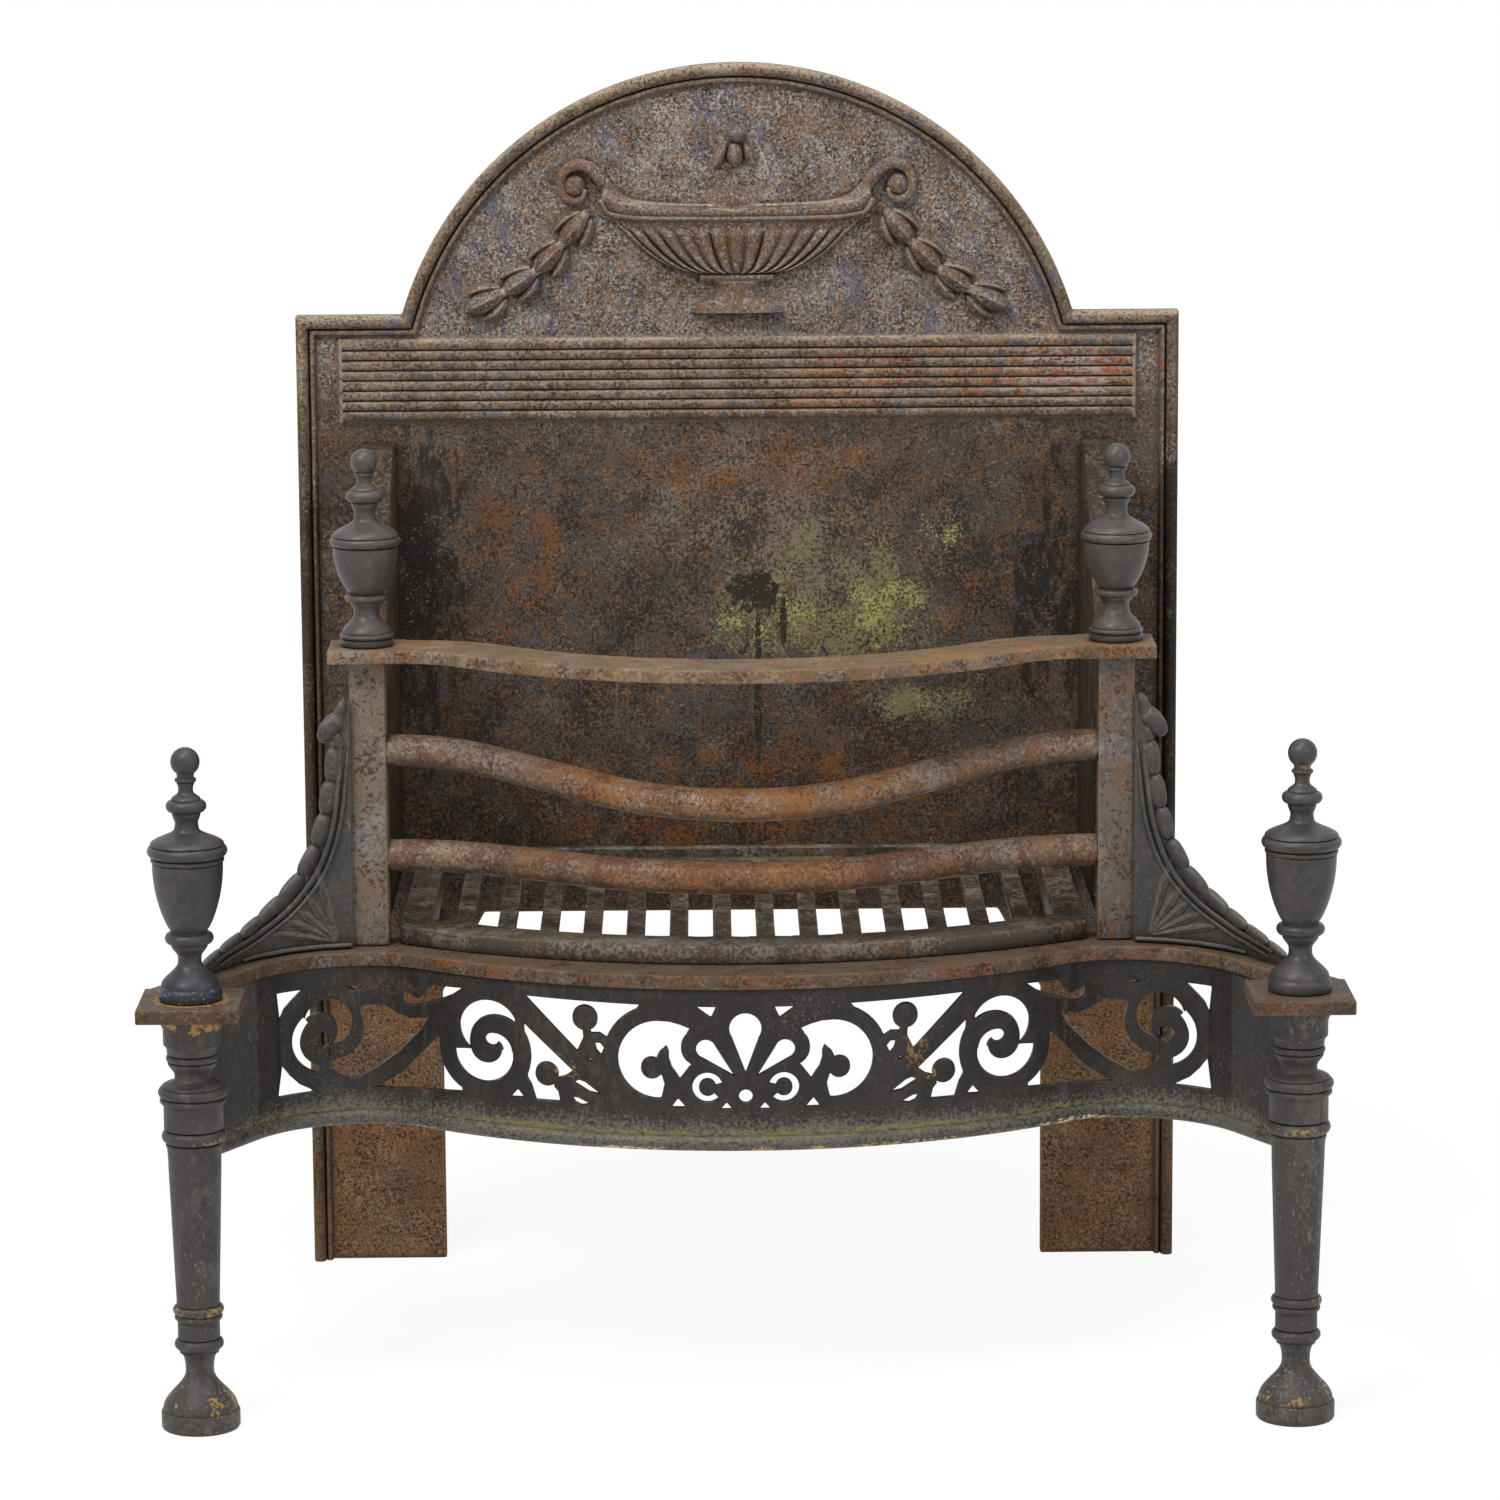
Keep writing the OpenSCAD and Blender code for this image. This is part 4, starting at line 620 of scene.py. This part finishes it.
# Browned wrought bar: the same rust, darker and less worn, nearly black at its left end.
low_rail_skin = weathered("browned_wrought_rail", "574636", [
    coat("6f5c4a", 3, (0.49, 0.61), 0.85, (30, 0.6)),
    coat("73706b", 2.6, (0.57, 0.66), 0.7, (18, 0.8)),
    coat("7a4c30", 2.6, (0.54, 0.62), 0.7, (22, 0.8)),
    coat("4a3a2c", 3, (0.38, 0.52), 0.8, (30, 0.5), edge=(0.7, 1.2),
         over=[((-350, -165, 298), (130, 140, 20)), ((379, -200, 298), (60, 80, 20))]),
    coat("38271b", 2.4, (0.55, 0.61), 0.8, (20, 0.6)),
    coat("5d5142", 4, (0.42, 0.6), 0.7, (40, 0.8), lies=1),
    # wear and a painted highlight on the arrises
    coat("a08264", 4, (0.47, 0.6), 0.7, (60, 0.6), ridges=2.5),
    coat("b0854a", 3, (0.4, 0.5), 0.8, over=[((-379, -202, 303), (34, 34, 6))], edge=(0.7, 1.1)),
    # grime and painted shade in the corners
    dirt_and_shade("231911", 4),
], rough=(0.42, 0.75), pits=(2.6, 0.35), lumps=(20, 0.8), gloss=0.2)
settle(softened("top_rail", 1.3, 3), "top_rail_bar", rail_skin, "top_rail")
settle(softened("lower_rail", 1.3, 3), "lower_rail_bar", low_rail_skin, "lower_rail")

# ---- Posts ----
# Square wrought posts between the rails, held by a bolt from below and a stud from above.
# They are drilled through for the tenons of the front bars.
post_x, post_y = 265, -24.5

# Pitted wrought bar, the left post: pale dry scale with sharp brown pits.
left_skin = weathered("pitted_wrought_post", "75695d", [
    coat("858381", 3, (0.52, 0.62), 0.75, (22, 0.8), drawn=(1, 1, 0.6)),
    coat("62523f", 2.8, (0.53, 0.61), 0.75, (22, 0.7)),
    coat("7d654a", 3, (0.54, 0.64), 0.6, (34, 0.8)),
    coat("452b1d", 3, (0.575, 0.61), 0.9, (30, 0.4)),
    # wear and a painted highlight on the arrises
    coat("a1937f", 4, (0.36, 0.54), 0.6, ridges=2.5),
    # grime and painted shade in the corners
    dirt_and_shade("2e2118", 4),
], rough=(0.42, 0.75), pits=(3, 0.45), gloss=0.3)
# Grey wrought bar, the right post: blue-grey mill scale, rusty in patches and at its arrises, which also
# carry a painted highlight.
right_skin = weathered("grey_wrought_post", "695f56", [
    coat("737b83", 3.4, (0.48, 0.6), 0.8, (26, 0.8), drawn=(1, 1, 0.6)),
    coat("5f4a36", 3.4, (0.53, 0.62), 0.8, (30, 0.8)),
    coat("7c5636", 3, (0.57, 0.65), 0.8, (34, 0.8)),
    coat("382a20", 2.6, (0.575, 0.62), 0.8, (20, 0.5)),
    # rust, wear and a painted highlight on the arrises
    coat("9a8368", 4, (0.36, 0.54), 0.6, ridges=2.5),
    # grime and painted shade in the corners
    dirt_and_shade("2e2118", 4),
], rough=(0.42, 0.75), pits=(3, 0.45), gloss=0.3)
settle(softened("post_left", 1.8, 3), "post_bar_left", left_skin, "post_left")
settle(softened("post_right", 1.8, 3), "post_bar_right", right_skin, "post_right")

# ---- Front bars ----
# Two round bars forged to a bow and tenoned through the posts; the upper one hangs in the middle.
# The hammer has left them a little uneven.
bar_half, bar_r, bar_out = 252.3, 11.5, 91
neck, tenon_long, tenon_r = 1, 20, 6.9
bend = radians(31)

# Forged round bar: brown rust with an orange bloom near the fire, a sheen on top where it has been rubbed,
# and painted shade on its underside.
bar_skin = weathered("forged_round_bar", "6c5846", [
    coat("908476", 3.4, (0.44, 0.64), 0.85, (50, 0.7)),
    coat("85592f", 3.4, (0.4, 0.54), 0.95, (30, 0.7), over=[((-20, -110, 405), (190, 300, 300))],
         edge=(0.5, 1.2)),
    coat("593c29", 3, (0.4, 0.54), 0.75, (30, 0.6), over=[((0, -110, 366), (235, 300, 20))],
         edge=(0.7, 1.1)),
    coat("5e3a28", 3, (0.55, 0.63), 0.8, (22, 0.9)),
    coat("8f653b", 2.6, (0.57, 0.66), 0.65, (20, 0.8)),
    coat("a59b8d", 2.2, (0.62, 0.74), 0.5, (40, 0.9)),
    coat("3f281c", 2.4, (0.575, 0.62), 0.8, (26, 0.4)),
    # painted shade: darker on the faces that look down
    coat("30221a", 5, (0.34, 0.52), 0.75, (30, 0.5), lies=-1),
    # grime and painted shade in the corners
    dirt_and_shade("2b1e16", 5),
], rough=(0.34, 0.62), pits=(3, 0.35), lumps=(18, 1.0), gloss=0.28)


def bowed(bow):
    """points of a bowed bar in its own plane: middle bend, straight runs and end bends"""
    both = (bar_half * sin(bend) - bow * cos(bend)) / (1 - cos(bend))
    run = (bow - both * (1 - cos(bend))) / sin(bend)
    r1, r2 = both * 0.57, both * 0.43
    half = [(r1 * sin(bend * k / 16), -bow + r1 * (1 - cos(bend * k / 16))) for k in range(17)]
    x, y = half[16]
    half += [(x + run * k / 8 * cos(bend), y + run * k / 8 * sin(bend)) for k in range(1, 8)]
    half += [(bar_half - r2 * sin(bend * k / 12), -r2 + r2 * cos(bend * k / 12)) for k in range(12, -1, -1)]
    return [(-x, y) for x, y in half[:0:-1]] + half


for name, z, droop in (("upper_bar", 442.5, radians(15)), ("lower_bar", 366.5, 0)):
    line = [(x, post_y + y * cos(droop), z + y * sin(droop)) for x, y in bowed(bar_out / cos(droop))]
    # at each end the bar necks down, just short of the post, to a tenon
    line[0], line[-1] = (-bar_half - neck, post_y, z), (bar_half + neck, post_y, z)
    line = [(-bar_half - tenon_long, post_y, z)] + line + [(bar_half + tenon_long, post_y, z)]
    radii = [bar_r + 0.28 * noise.noise((p[0] / 28, p[2] / 20, 3.7)) for p in line]
    radii[0] = radii[-1] = tenon_r
    bm = bmesh.new()
    rod(bm, line, radii, (0, -sin(droop), cos(droop)), 28)
    settle(bm, name + "_forged", bar_skin, name)

# ---- Bearers and fixings ----
# Iron straps under the grate, and the square-headed bolts, studs and screws that hold the frame together.
# All of them are hidden from the front.

# Rusty mild steel: an even dull brown with dark flecks.
fixing_skin = weathered("rusty_mild_steel", "4f4136", [
    coat("6a5140", 9, (0.45, 0.6)),
    coat("37291f", 3, (0.52, 0.64), 0.8),
], pits=(1.6, 0.15))
for name in ("bearer_left", "bearer_right"):
    settle(softened(name, 0.9), name + "_strap", fixing_skin, name)
for name in ("leg_studs", "post_studs", "post_bolts", "frame_bolts", "fret_screws"):
    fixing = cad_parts[name]
    fixing.data.materials.clear()
    fixing.data.materials.append(fixing_skin)

# ---- Bottom grate ----
# One loose casting on the lower rail and the bearers: a bowed front bar, fifteen gaps, and a lip at the back
# that keeps the coals in.

# Sooty casting: dark olive from soot and damp, with painted shade over its back. Its front bar is pale with
# dust, and its edges are rubbed and carry a painted highlight.
grate_skin = weathered("sooty_cast_grate", "4f473f", [
    coat("8a7f73", 3, (0.44, 0.58), 0.85, (34, 0.6), over=[((0, -118, 308), (900, 50, 60))],
         edge=(0.7, 1.1)),
    # painted shade: the back of the grate darkened
    coat("251c14", 4, (0.4, 0.56), 0.85, (26, 0.6), over=[((0, 130, 308), (900, 210, 90))],
         edge=(0.85, 1.05)),
    coat("8d8275", 2.4, (0.59, 0.67), 0.5, (26, 0.7)),
    coat("6b4a2c", 3, (0.57, 0.65), 0.6, (22, 0.8)),
    coat("6f6e49", 3, (0.46, 0.6), 0.75, (50, 0.9), lies=1,
         over=[((-190, -90, 312), (120, 90, 60)), ((0, 200, 320), (240, 60, 60))]),
    coat("8d8378", 4, (0.52, 0.66), 0.55, (30, 0.8), lies=1),
    # wear and a painted highlight on the edges
    coat("a79b8b", 5, (0.42, 0.6), 0.75, (50, 0.6), ridges=2.5),
    # grime and painted shade in the corners
    dirt_and_shade("15110e", 9, 0.9),
], rough=(0.42, 0.75), pits=(2, 0.3), gloss=0.25)
loose = softened("bottom_grate", 1.3)
settle(loose, "grate_casting", grate_skin, "bottom_grate", body="bottom_grate")

# ---- Fret ----
# A pierced serpentine casting under the lower rail, its scrolls and palmette filed by hand, with a half-round
# lip along its lower edge. Screws through lugs behind it hold it up.

# Old black paint on iron: a soft grey-brown black, a little grainy, dusty low down and on the ledges, with
# green along the lip and chips down to ochre.
black_paint = weathered("black_painted_iron", "24201f", [
    coat("312d2b", 5, (0.48, 0.66), 0.8, (50, 0.8)),
    coat("443a31", 4, (0.6, 0.74), 0.6, (40, 0.9), drawn=(1, 1, 0.4)),
    coat("6f6a62", 1.8, (0.66, 0.7), 0.6, (60, 0.5)),
    coat("68645a", 2.2, (0.3, 0.62), 0.85, (60, 0.4), over=[((0, -110, 186), (1500, 1500, 26))],
         edge=(0.25, 1.3)),
    coat("7b7744", 2.4, (0.38, 0.58), 0.75, (60, 0.5), drawn=(0.5, 0.5, 1),
         over=[((0, -110, 189.4), (900, 1500, 7))], edge=(0.2, 1.3)),
    coat("b49a5a", 3, (0.6, 0.65), 0.9, (40, 0.8), over=[((0, -110, 178), (500, 300, 5))], edge=(0.6, 1.2)),
    coat("cdbd92", 4, (0.47, 0.52), 0.9, (12, 0.6), edge=(0.6, 1.2),
         over=[((232, -70, 179.5), (34, 90, 4.5)), ((-85, -140, 178.5), (30, 90, 3))]),
    coat("8a6a35", 3, (0.5, 0.6), 0.85, (16, 0.9),
         over=[((-125, -120, 236), (16, 40, 20)), ((118, -120, 246), (14, 40, 26)),
               ((130, -120, 226), (10, 40, 8))]),
    coat("5f4426", 2.6, (0.42, 0.56), 0.8, (20, 0.5), drawn=(1, 1, 0.4),
         over=[((-229, -62, 212), (9, 60, 20))], edge=(0.5, 1.2)),
    coat("584337", 2, (0.54, 0.64), 0.6, (26, 0.7), over=[((-255, -60, 278), (60, 60, 12))]),
    coat("6a655c", 3, (0.48, 0.66), 0.75, (40, 0.8), lies=1),
    # grime and painted shade in the corners
    dirt_and_shade("151312", 5, 0.7),
], rough=(0.42, 0.58), pits=(1.4, 0.08), lumps=(18, 0.4), gloss=0.3)
thin_neck = (130.5, 225.5, 6)
casting = softened("fret_apron", 0.7, 2, 50, [thin_neck])
settle(casting, "fret_casting", black_paint, "fret_apron")

# the rail's line: an arc bowed forward between the posts, an arc back at each, and one to a straight tail
front_y, crest_y, bend_in, bend_out = -145.5, -57.5, 60, 90
bow_h = crest_y - front_y
bow_sum = (post_x ** 2 + bow_h ** 2) / (2 * bow_h)
bow_r, bow_a = bow_sum - bend_in, asin(post_x / bow_sum)
tail_a = radians(60)
tail_x, tail_y = post_x + bend_out * sin(tail_a), crest_y - bend_out + bend_out * cos(tail_a)


def serpentine(x, behind):
    """how far back the rail's line lies at x, moved back from its front edge"""
    x = abs(x)
    if x <= (bow_r - behind) * sin(bow_a):
        return front_y + bow_r - sqrt((bow_r - behind) ** 2 - x * x)
    if x <= post_x:
        return crest_y - bend_in + sqrt((bend_in + behind) ** 2 - (post_x - x) ** 2)
    if x <= post_x + (bend_out + behind) * sin(tail_a):
        return crest_y - bend_out + sqrt((bend_out + behind) ** 2 - (x - post_x) ** 2)
    return tail_y + behind * cos(tail_a) - (x - tail_x - behind * sin(tail_a)) * tan(tail_a)


fret_back, lip_z, lip_r, lip_half, lip_step = 3, 183, 5.25, 376, 4
line = [(x, serpentine(x, fret_back), lip_z) for x in range(-lip_half, lip_half + 1, lip_step)]
bm = bmesh.new()
rod(bm, line, [lip_r] * len(line), (0, 0, 1), 20)
settle(bm, "fret_lip", black_paint, "fret_apron")

# ---- Wings ----
# A leaf bracket outside each post, standing on the rail and following its curve: a plain field with a fan of
# ribs, a double bead, a row of husks along the hollow edge, and a rolled leaf at the top. Painted cast iron.

# Dusty black paint: charcoal to the eye, with a slight satin sheen, and pale dust with a painted highlight on
# what stands proud.
wing_paint = weathered("dusty_black_painted_bracket", "3a3735", [
    coat("4a4644", 5, (0.46, 0.62), 0.8, (40, 0.8)),
    coat("2f2c2b", 4, (0.56, 0.66), 0.6, (26, 0.7)),
    coat("6f6a63", 1.8, (0.62, 0.68), 0.6, (50, 0.5)),
    coat("6b665f", 3, (0.42, 0.62), 0.6, (40, 0.6), lies=1),
    # dust and a painted highlight on the ridges
    coat("6f6b66", 4, (0.36, 0.54), 0.5, ridges=2),
    # grime and painted shade in the corners
    dirt_and_shade("1b1918", 4),
], rough=(0.4, 0.56), pits=(1.4, 0.08), lumps=(16, 0.4), gloss=0.4)
hands = ((-1, "left"), (1, "right"))
rail_top, wing_x0, wing_t, wing_behind = 303, 277.7, 6, 14
# hollow edge inside the husks, from the rolled leaf down to the tail: x and height on the rail
hollow = [(284.6, 176), (286.4, 160), (288.2, 147), (290.4, 122), (293.2, 98), (297.4, 80), (303.8, 63),
          (313, 48.4), (325.4, 35.4), (338, 26.6), (349, 20.6), (360, 17), (368, 14), (374, 10.6), (379, 6)]
edge = through(hollow, 5)
# each husk as x, height, lean, length and width
husks = [(288.9, 133.5, 4, 26, 12.5), (293, 110, 9, 25.5, 12.5), (298.2, 87, 14, 25, 12.5),
         (307.2, 65.2, 28, 25, 12), (319.2, 47.6, 41, 24.5, 11.5), (332.8, 34.4, 49, 23, 11),
         (346, 24.6, 56, 18, 9.4), (359, 17.4, 64, 17, 7.6), (371, 11.4, 62, 14, 5.6)]
# a fat lobe that leans out and two smaller ones behind it, with their depth too
lobes = [(290.4, 160, -38, 25, 15, 6.5), (283.6, 170, -18, 22, 9, 5.5), (285.6, 150, 12, 16, 9, 5)]


def bead_line(inset, start):
    """the hollow edge moved inwards, from one of its points down to the rail"""
    line = []
    for k in range(start, len(edge) - 8):
        ahead = Vector((edge[k + 1][0] - edge[k - 1][0], 0, edge[k + 1][1] - edge[k - 1][1])).normalized()
        at = Vector((edge[k][0], -0.6, edge[k][1])) + inset * Vector((ahead.z, 0, -ahead.x))
        if at.x > wing_x0 + 0.5 and at.z > 1.5:
            line.append(at)
    return line


for side, hand in hands:
    bm = bmesh.new()
    outline = [(wing_x0, 0), (wing_x0, 178)] + edge + [(380, 0)]
    bm.faces.new([bm.verts.new((x, 0, z)) for x, z in outline])
    # upright cuts, so that the flat field can follow the rail's curve
    for x in range(282, 380, 4):
        parts = bm.verts[:] + bm.edges[:] + bm.faces[:]
        bmesh.ops.bisect_plane(bm, geom=parts, plane_co=(x, 0, 0), plane_no=(1, 0, 0))
    draw_out(bm, (0, wing_t, 0))
    round_over(bm, arrises(bm, 60), 1.2, 2, clamp=True)
    # double bead that follows the hollow edge and thins out at its ends, and a plain one along the foot
    for inset, r, start in ((4.6, 2.5, 8), (9.6, 2.1, 10)):
        line = bead_line(inset, start)
        last = len(line) - 1
        rod(bm, line, [r * min(1, 0.35 + 0.1 * min(k, last - k)) for k in range(last + 1)], forward, 12, 1.1)
    rod(bm, [(x, -0.4, 2.4) for x in (279, 300, 320, 340, 352)], [2, 2.2, 2.2, 2, 1.2], forward, 10)
    # fan of leaf ribs that spring from the corner, each a wedge with a sharp spine
    for a, long in ((14, 50), (29, 42), (44, 40), (59, 45), (75, 62)):
        def wedge(x, y, z):
            swell = 0.3 + 0.7 * ((z + 1) / 2) ** 0.8
            spine = 1 + 0.5 * (1 - min(1, abs(x) * 3)) * (y < 0)
            return x * 4.6 * swell, y * 2.1 * swell * spine, z * long / 2

        middle = (wing_x0 + 10 + long / 2 * cos(radians(a)), 0, 5 + long / 2 * sin(radians(a)))
        lump(bm, 16, 12, wedge, 90 - a, middle)
    # plump husks with blunt ends, each overlapping the next
    for x0, z0, tilt, long, wide in husks:
        def plump(x, y, z):
            blunt = sqrt((1 - abs(z) ** 3.2) / (1 - z * z)) if abs(z) < 0.999 else 1
            return x * wide / 2 * blunt, y * 5.4 * blunt, z * long / 2

        lump(bm, 18, 14, plump, -tilt, (x0, 0.6, z0))
    for x0, z0, tilt, long, wide, deep in lobes:
        lump(bm, 18, 14, lambda x, y, z: (x * wide / 2, y * deep, z * long / 2), tilt, (x0, 0.8, z0))
    for v in bm.verts:
        v.co = (side * v.co.x, serpentine(v.co.x, wing_behind + v.co.y), rail_top + v.co.z)
    settle(bm, "wing_casting_" + hand, wing_paint, "wing_" + hand, corner=60)

# ---- Legs ----
# Front legs of cast iron, finished as if turned: bun foot, waist, rings, long taper, collar and capital.
# A stud runs up out of each, through the rail's plate, into its finial.


def wave(a, b, n=10):
    """an ogee from one radius and height to another, upright at both ends"""
    (r1, h1), (r2, h2) = a, b
    return [(r1 + (r2 - r1) * (1 - cos(pi * k / n)) / 2, h1 + (h2 - h1) * k / n) for k in range(n + 1)]


def flare(a, b, n):
    """a quarter hollow from one radius and height to another, upright where it starts"""
    turn = [pi / 2 * k / n for k in range(n + 1)]
    return [(a[0] + (b[0] - a[0]) * (1 - cos(t)), a[1] + (b[1] - a[1]) * sin(t)) for t in turn]


def ring(r, z, h):
    """a half-round ring out to a radius, from a height up by its own height"""
    return [(r - h / 2 + h / 2 * sin(pi * k / 10), z + h / 2 - h / 2 * cos(pi * k / 10)) for k in range(11)]


def turned(profile, x, y, z, scale=1.0):
    """a solid spun from its profile, a list of radius and height from the bottom up"""
    bm = bmesh.new()
    points = [bm.verts.new((x + r * scale, y, z + h * scale)) for r, h in profile]
    edges = [bm.edges.new(pair) for pair in zip(points, points[1:])]
    bmesh.ops.spin(bm, geom=points + edges, cent=(x, y, z), axis=(0, 0, 1), angle=2 * pi, steps=96,
                   use_merge=True)
    bmesh.ops.remove_doubles(bm, verts=bm.verts, dist=0.01)
    bmesh.ops.holes_fill(bm, edges=[e for e in bm.edges if e.is_boundary], sides=0)
    return bm


def round_legs(z, high):
    """both front legs at one height, as a place for a coat"""
    return (0, -202, z), (1900, 1900, high)


leg_x, leg_y = 379, -202.5
leg_shape = [(0, 0), (24.6, 0), (26.4, 0.5), (27.2, 2), (27.2, 12), (26.6, 13.2), (25.6, 13.6)]
leg_shape += wave((25.8, 14.5), (9.7, 41)) + flare((9.7, 42), (13.6, 54), 6) + [(13.2, 55.6)]
leg_shape += ring(17, 56, 8) + [(14.6, 64.6), (14.5, 76.6)] + ring(16.6, 77, 4.5) + ring(17.6, 81.2, 6.4)
leg_shape += [(15, 88), (14.9, 91), (16.6, 140), (18.2, 186)] + flare((18.2, 188), (19.6, 201), 5)
leg_shape += [(19.4, 202.6)] + ring(22.2, 203, 9.5) + [(20.5, 213), (20.5, 230)]
leg_shape += ring(23, 230.5, 4.6) + ring(24, 234.8, 7.6) + wave((21.6, 242.6), (12.5, 248), 6)
leg_shape += wave((12.5, 250.6), (17, 259.4), 6) + ring(18, 259.8, 5) + [(16.4, 265)]
leg_shape += flare((17.2, 265.6), (19.6, 272), 4)
leg_shape += [(19.8, 283), (21, 286), (21, 292.6), (20.6, 293), (0, 293)]

# Dusty black paint: a soft charcoal, browner and dustier towards the floor, with ochre chips on the rings and
# under the left plate.
leg_paint = weathered("dusty_black_painted_leg", "3b3736", [
    coat("4f4b48", 9, (0.48, 0.66), 0.85, (50, 0.8), drawn=(1, 1, 0.5)),
    coat("2c2a29", 5, (0.56, 0.68), 0.6, (30, 0.7)),
    coat("746f66", 2, (0.62, 0.68), 0.6, (50, 0.6), drawn=(1, 1, 0.5)),
    coat("555145", 4, (0.5, 0.64), 0.6, (24, 0.8), over=[round_legs(0, 56)], edge=(0.3, 1.1)),
    coat("7c745f", 2.4, (0.59, 0.67), 0.6, (20, 0.8), over=[round_legs(0, 56)], edge=(0.3, 1.1)),
    coat("a8823f", 6, (0.42, 0.46), 0.95, (20, 0.6), over=[((-379, -202, 289), (50, 50, 9))],
         edge=(0.7, 1.3)),
    coat("9c7c45", 3, (0.58, 0.63), 0.85, (20, 0.8), edge=(0.6, 1.3),
         over=[round_legs(84, 5), round_legs(207, 4), round_legs(30, 22)]),
    # grime and painted shade in the corners
    dirt_and_shade("1f1d1c", 5, 0.7),
], rough=(0.42, 0.6), pits=(1.6, 0.1), lumps=(14, 0.4), gloss=0.35)
for side, hand in hands:
    bm = turned(leg_shape, side * leg_x, leg_y, 0)
    settle(bm, "leg_turned_" + hand, leg_paint, "leg_" + hand, corner=40)

# ---- Leg finials ----
# Small cast urns with a knop and a ball, finished as if turned.
# Each is screwed down on the rail's plate by its leg's stud.
leg_finial_h, ball_r, ball_z = 175, 10, 165.4
urn_shape = [(0, 0), (20.6, 0), (21.6, 0.8), (21.8, 2), (21.8, 6.6), (21.2, 8.2), (20.4, 9)]
urn_shape += wave((20.2, 10), (8.1, 27)) + wave((8.1, 30), (12.6, 38.4), 6) + ring(16.7, 39, 8.4)
urn_shape += [(12.4, 47.6)]
urn_shape += [(12.5 + 11.7 * sin(pi / 2 * k / 12), 48.4 + 47 * (k / 12) ** 1.25) for k in range(13)]
urn_shape += ring(25.2, 96, 3.6) + ring(27.4, 99.6, 8.6) + wave((25.4, 108.4), (8.4, 119.5))
urn_shape += wave((7.9, 123), (9.8, 129.6), 5) + ring(13.9, 130.5, 8.6) + wave((10.2, 139.4), (5.1, 145), 6)
urn_shape += [(5.1, 148), (6.2, 151)] + ring(7.4, 151.3, 3.2) + [(5.6, 155)]
urn_shape += [(ball_r * sin(radians(a)), ball_z - ball_r * cos(radians(a))) for a in range(38, 180, 8)]
urn_shape += [(0, ball_z + ball_r)]

# Satin black paint: smooth and dark with a soft sheen. The left one's foot is blue-black where oil has run
# over it, and the waists are rubbed to ochre.
finial_paint = weathered("satin_black_finial", "383534", [
    coat("45413f", 7, (0.48, 0.66), 0.8, (40, 0.8)),
    coat("2a2828", 5, (0.56, 0.68), 0.6, (26, 0.7)),
    coat("6d6760", 1.8, (0.66, 0.7), 0.5, (40, 0.5)),
    coat("22262d", 10, (0.36, 0.46), 0.95, over=[((-379, -202, 303), (60, 60, 26))], edge=(0.7, 1.2)),
    coat("93a0ac", 1.8, (0.6, 0.64), 0.8, over=[((-379, -202, 308), (60, 60, 12))], edge=(0.5, 1.2)),
    coat("7d6238", 3, (0.52, 0.6), 0.7, (20, 0.8), over=[round_legs(398.6, 1.6)], edge=(0.5, 1.3)),
    coat("8c6f3e", 3, (0.48, 0.56), 0.8, over=[((382, -210, 459), (10, 30, 4))]),
    # grime and painted shade in the corners
    dirt_and_shade("1f1d1c", 5, 0.7),
], rough=(0.36, 0.52), pits=(1.4, 0.06), lumps=(16, 0.3), gloss=0.4)
for side, hand in hands:
    bm = turned(urn_shape, side * leg_x, leg_y, rail_top, leg_finial_h / (ball_z + ball_r))
    settle(bm, "leg_urn_" + hand, finial_paint, "leg_finial_" + hand, corner=40)

# ---- Top finials ----
# Smaller cast urns of the same pattern, newer and cleaner.
# Each is screwed down on the top rail by its post's stud.
shelf_top, top_finial_h, ball_r, ball_z = 518, 140, 9.5, 131
small_shape = [(0, 0), (17.8, 0), (18.7, 0.7), (18.9, 1.6), (18.9, 4.6), (18.2, 5.2)] + ring(19.1, 5.4, 4)
small_shape += wave((17.4, 9.8), (9, 23)) + wave((9, 26), (11.6, 31.4), 5) + ring(15.4, 31.8, 5.4)
small_shape += [(12, 37.4)]
small_shape += [(12.3 + 10.8 * sin(pi / 2 * k / 12), 38.2 + 32.6 * (k / 12) ** 1.2) for k in range(13)]
small_shape += ring(25.1, 71.4, 7) + wave((23.6, 78.6), (7.6, 91.5)) + wave((7.4, 95), (9.6, 102), 5)
small_shape += ring(13.2, 102.6, 8.6) + wave((9.4, 111.4), (5.2, 116), 6)
small_shape += [(5.2, 119.5)] + ring(7.1, 121, 2.8) + [(5.4, 124.2)]
small_shape += [(ball_r * sin(radians(a)), ball_z - ball_r * cos(radians(a))) for a in range(40, 180, 8)]
small_shape += [(0, ball_z + ball_r)]

# Satin grey-black paint: the smoothest finish of all, a warm dark grey with hardly any dust.
grey_paint = weathered("grey_satin_finial", "433f3d", [
    coat("524d4a", 7, (0.48, 0.66), 0.8, (36, 0.8)),
    coat("353231", 5, (0.56, 0.68), 0.5, (24, 0.7)),
    coat("75706a", 1.8, (0.66, 0.7), 0.45, (40, 0.5)),
    # grime and painted shade in the corners
    dirt_and_shade("262322", 4, 0.7),
], rough=(0.34, 0.48), pits=(1.4, 0.06), lumps=(16, 0.3), gloss=0.4)
for side, hand in hands:
    bm = turned(small_shape, side * post_x, post_y, shelf_top, top_finial_h / (ball_z + ball_r))
    settle(bm, "top_urn_" + hand, grey_paint, "top_finial_" + hand, corner=40)
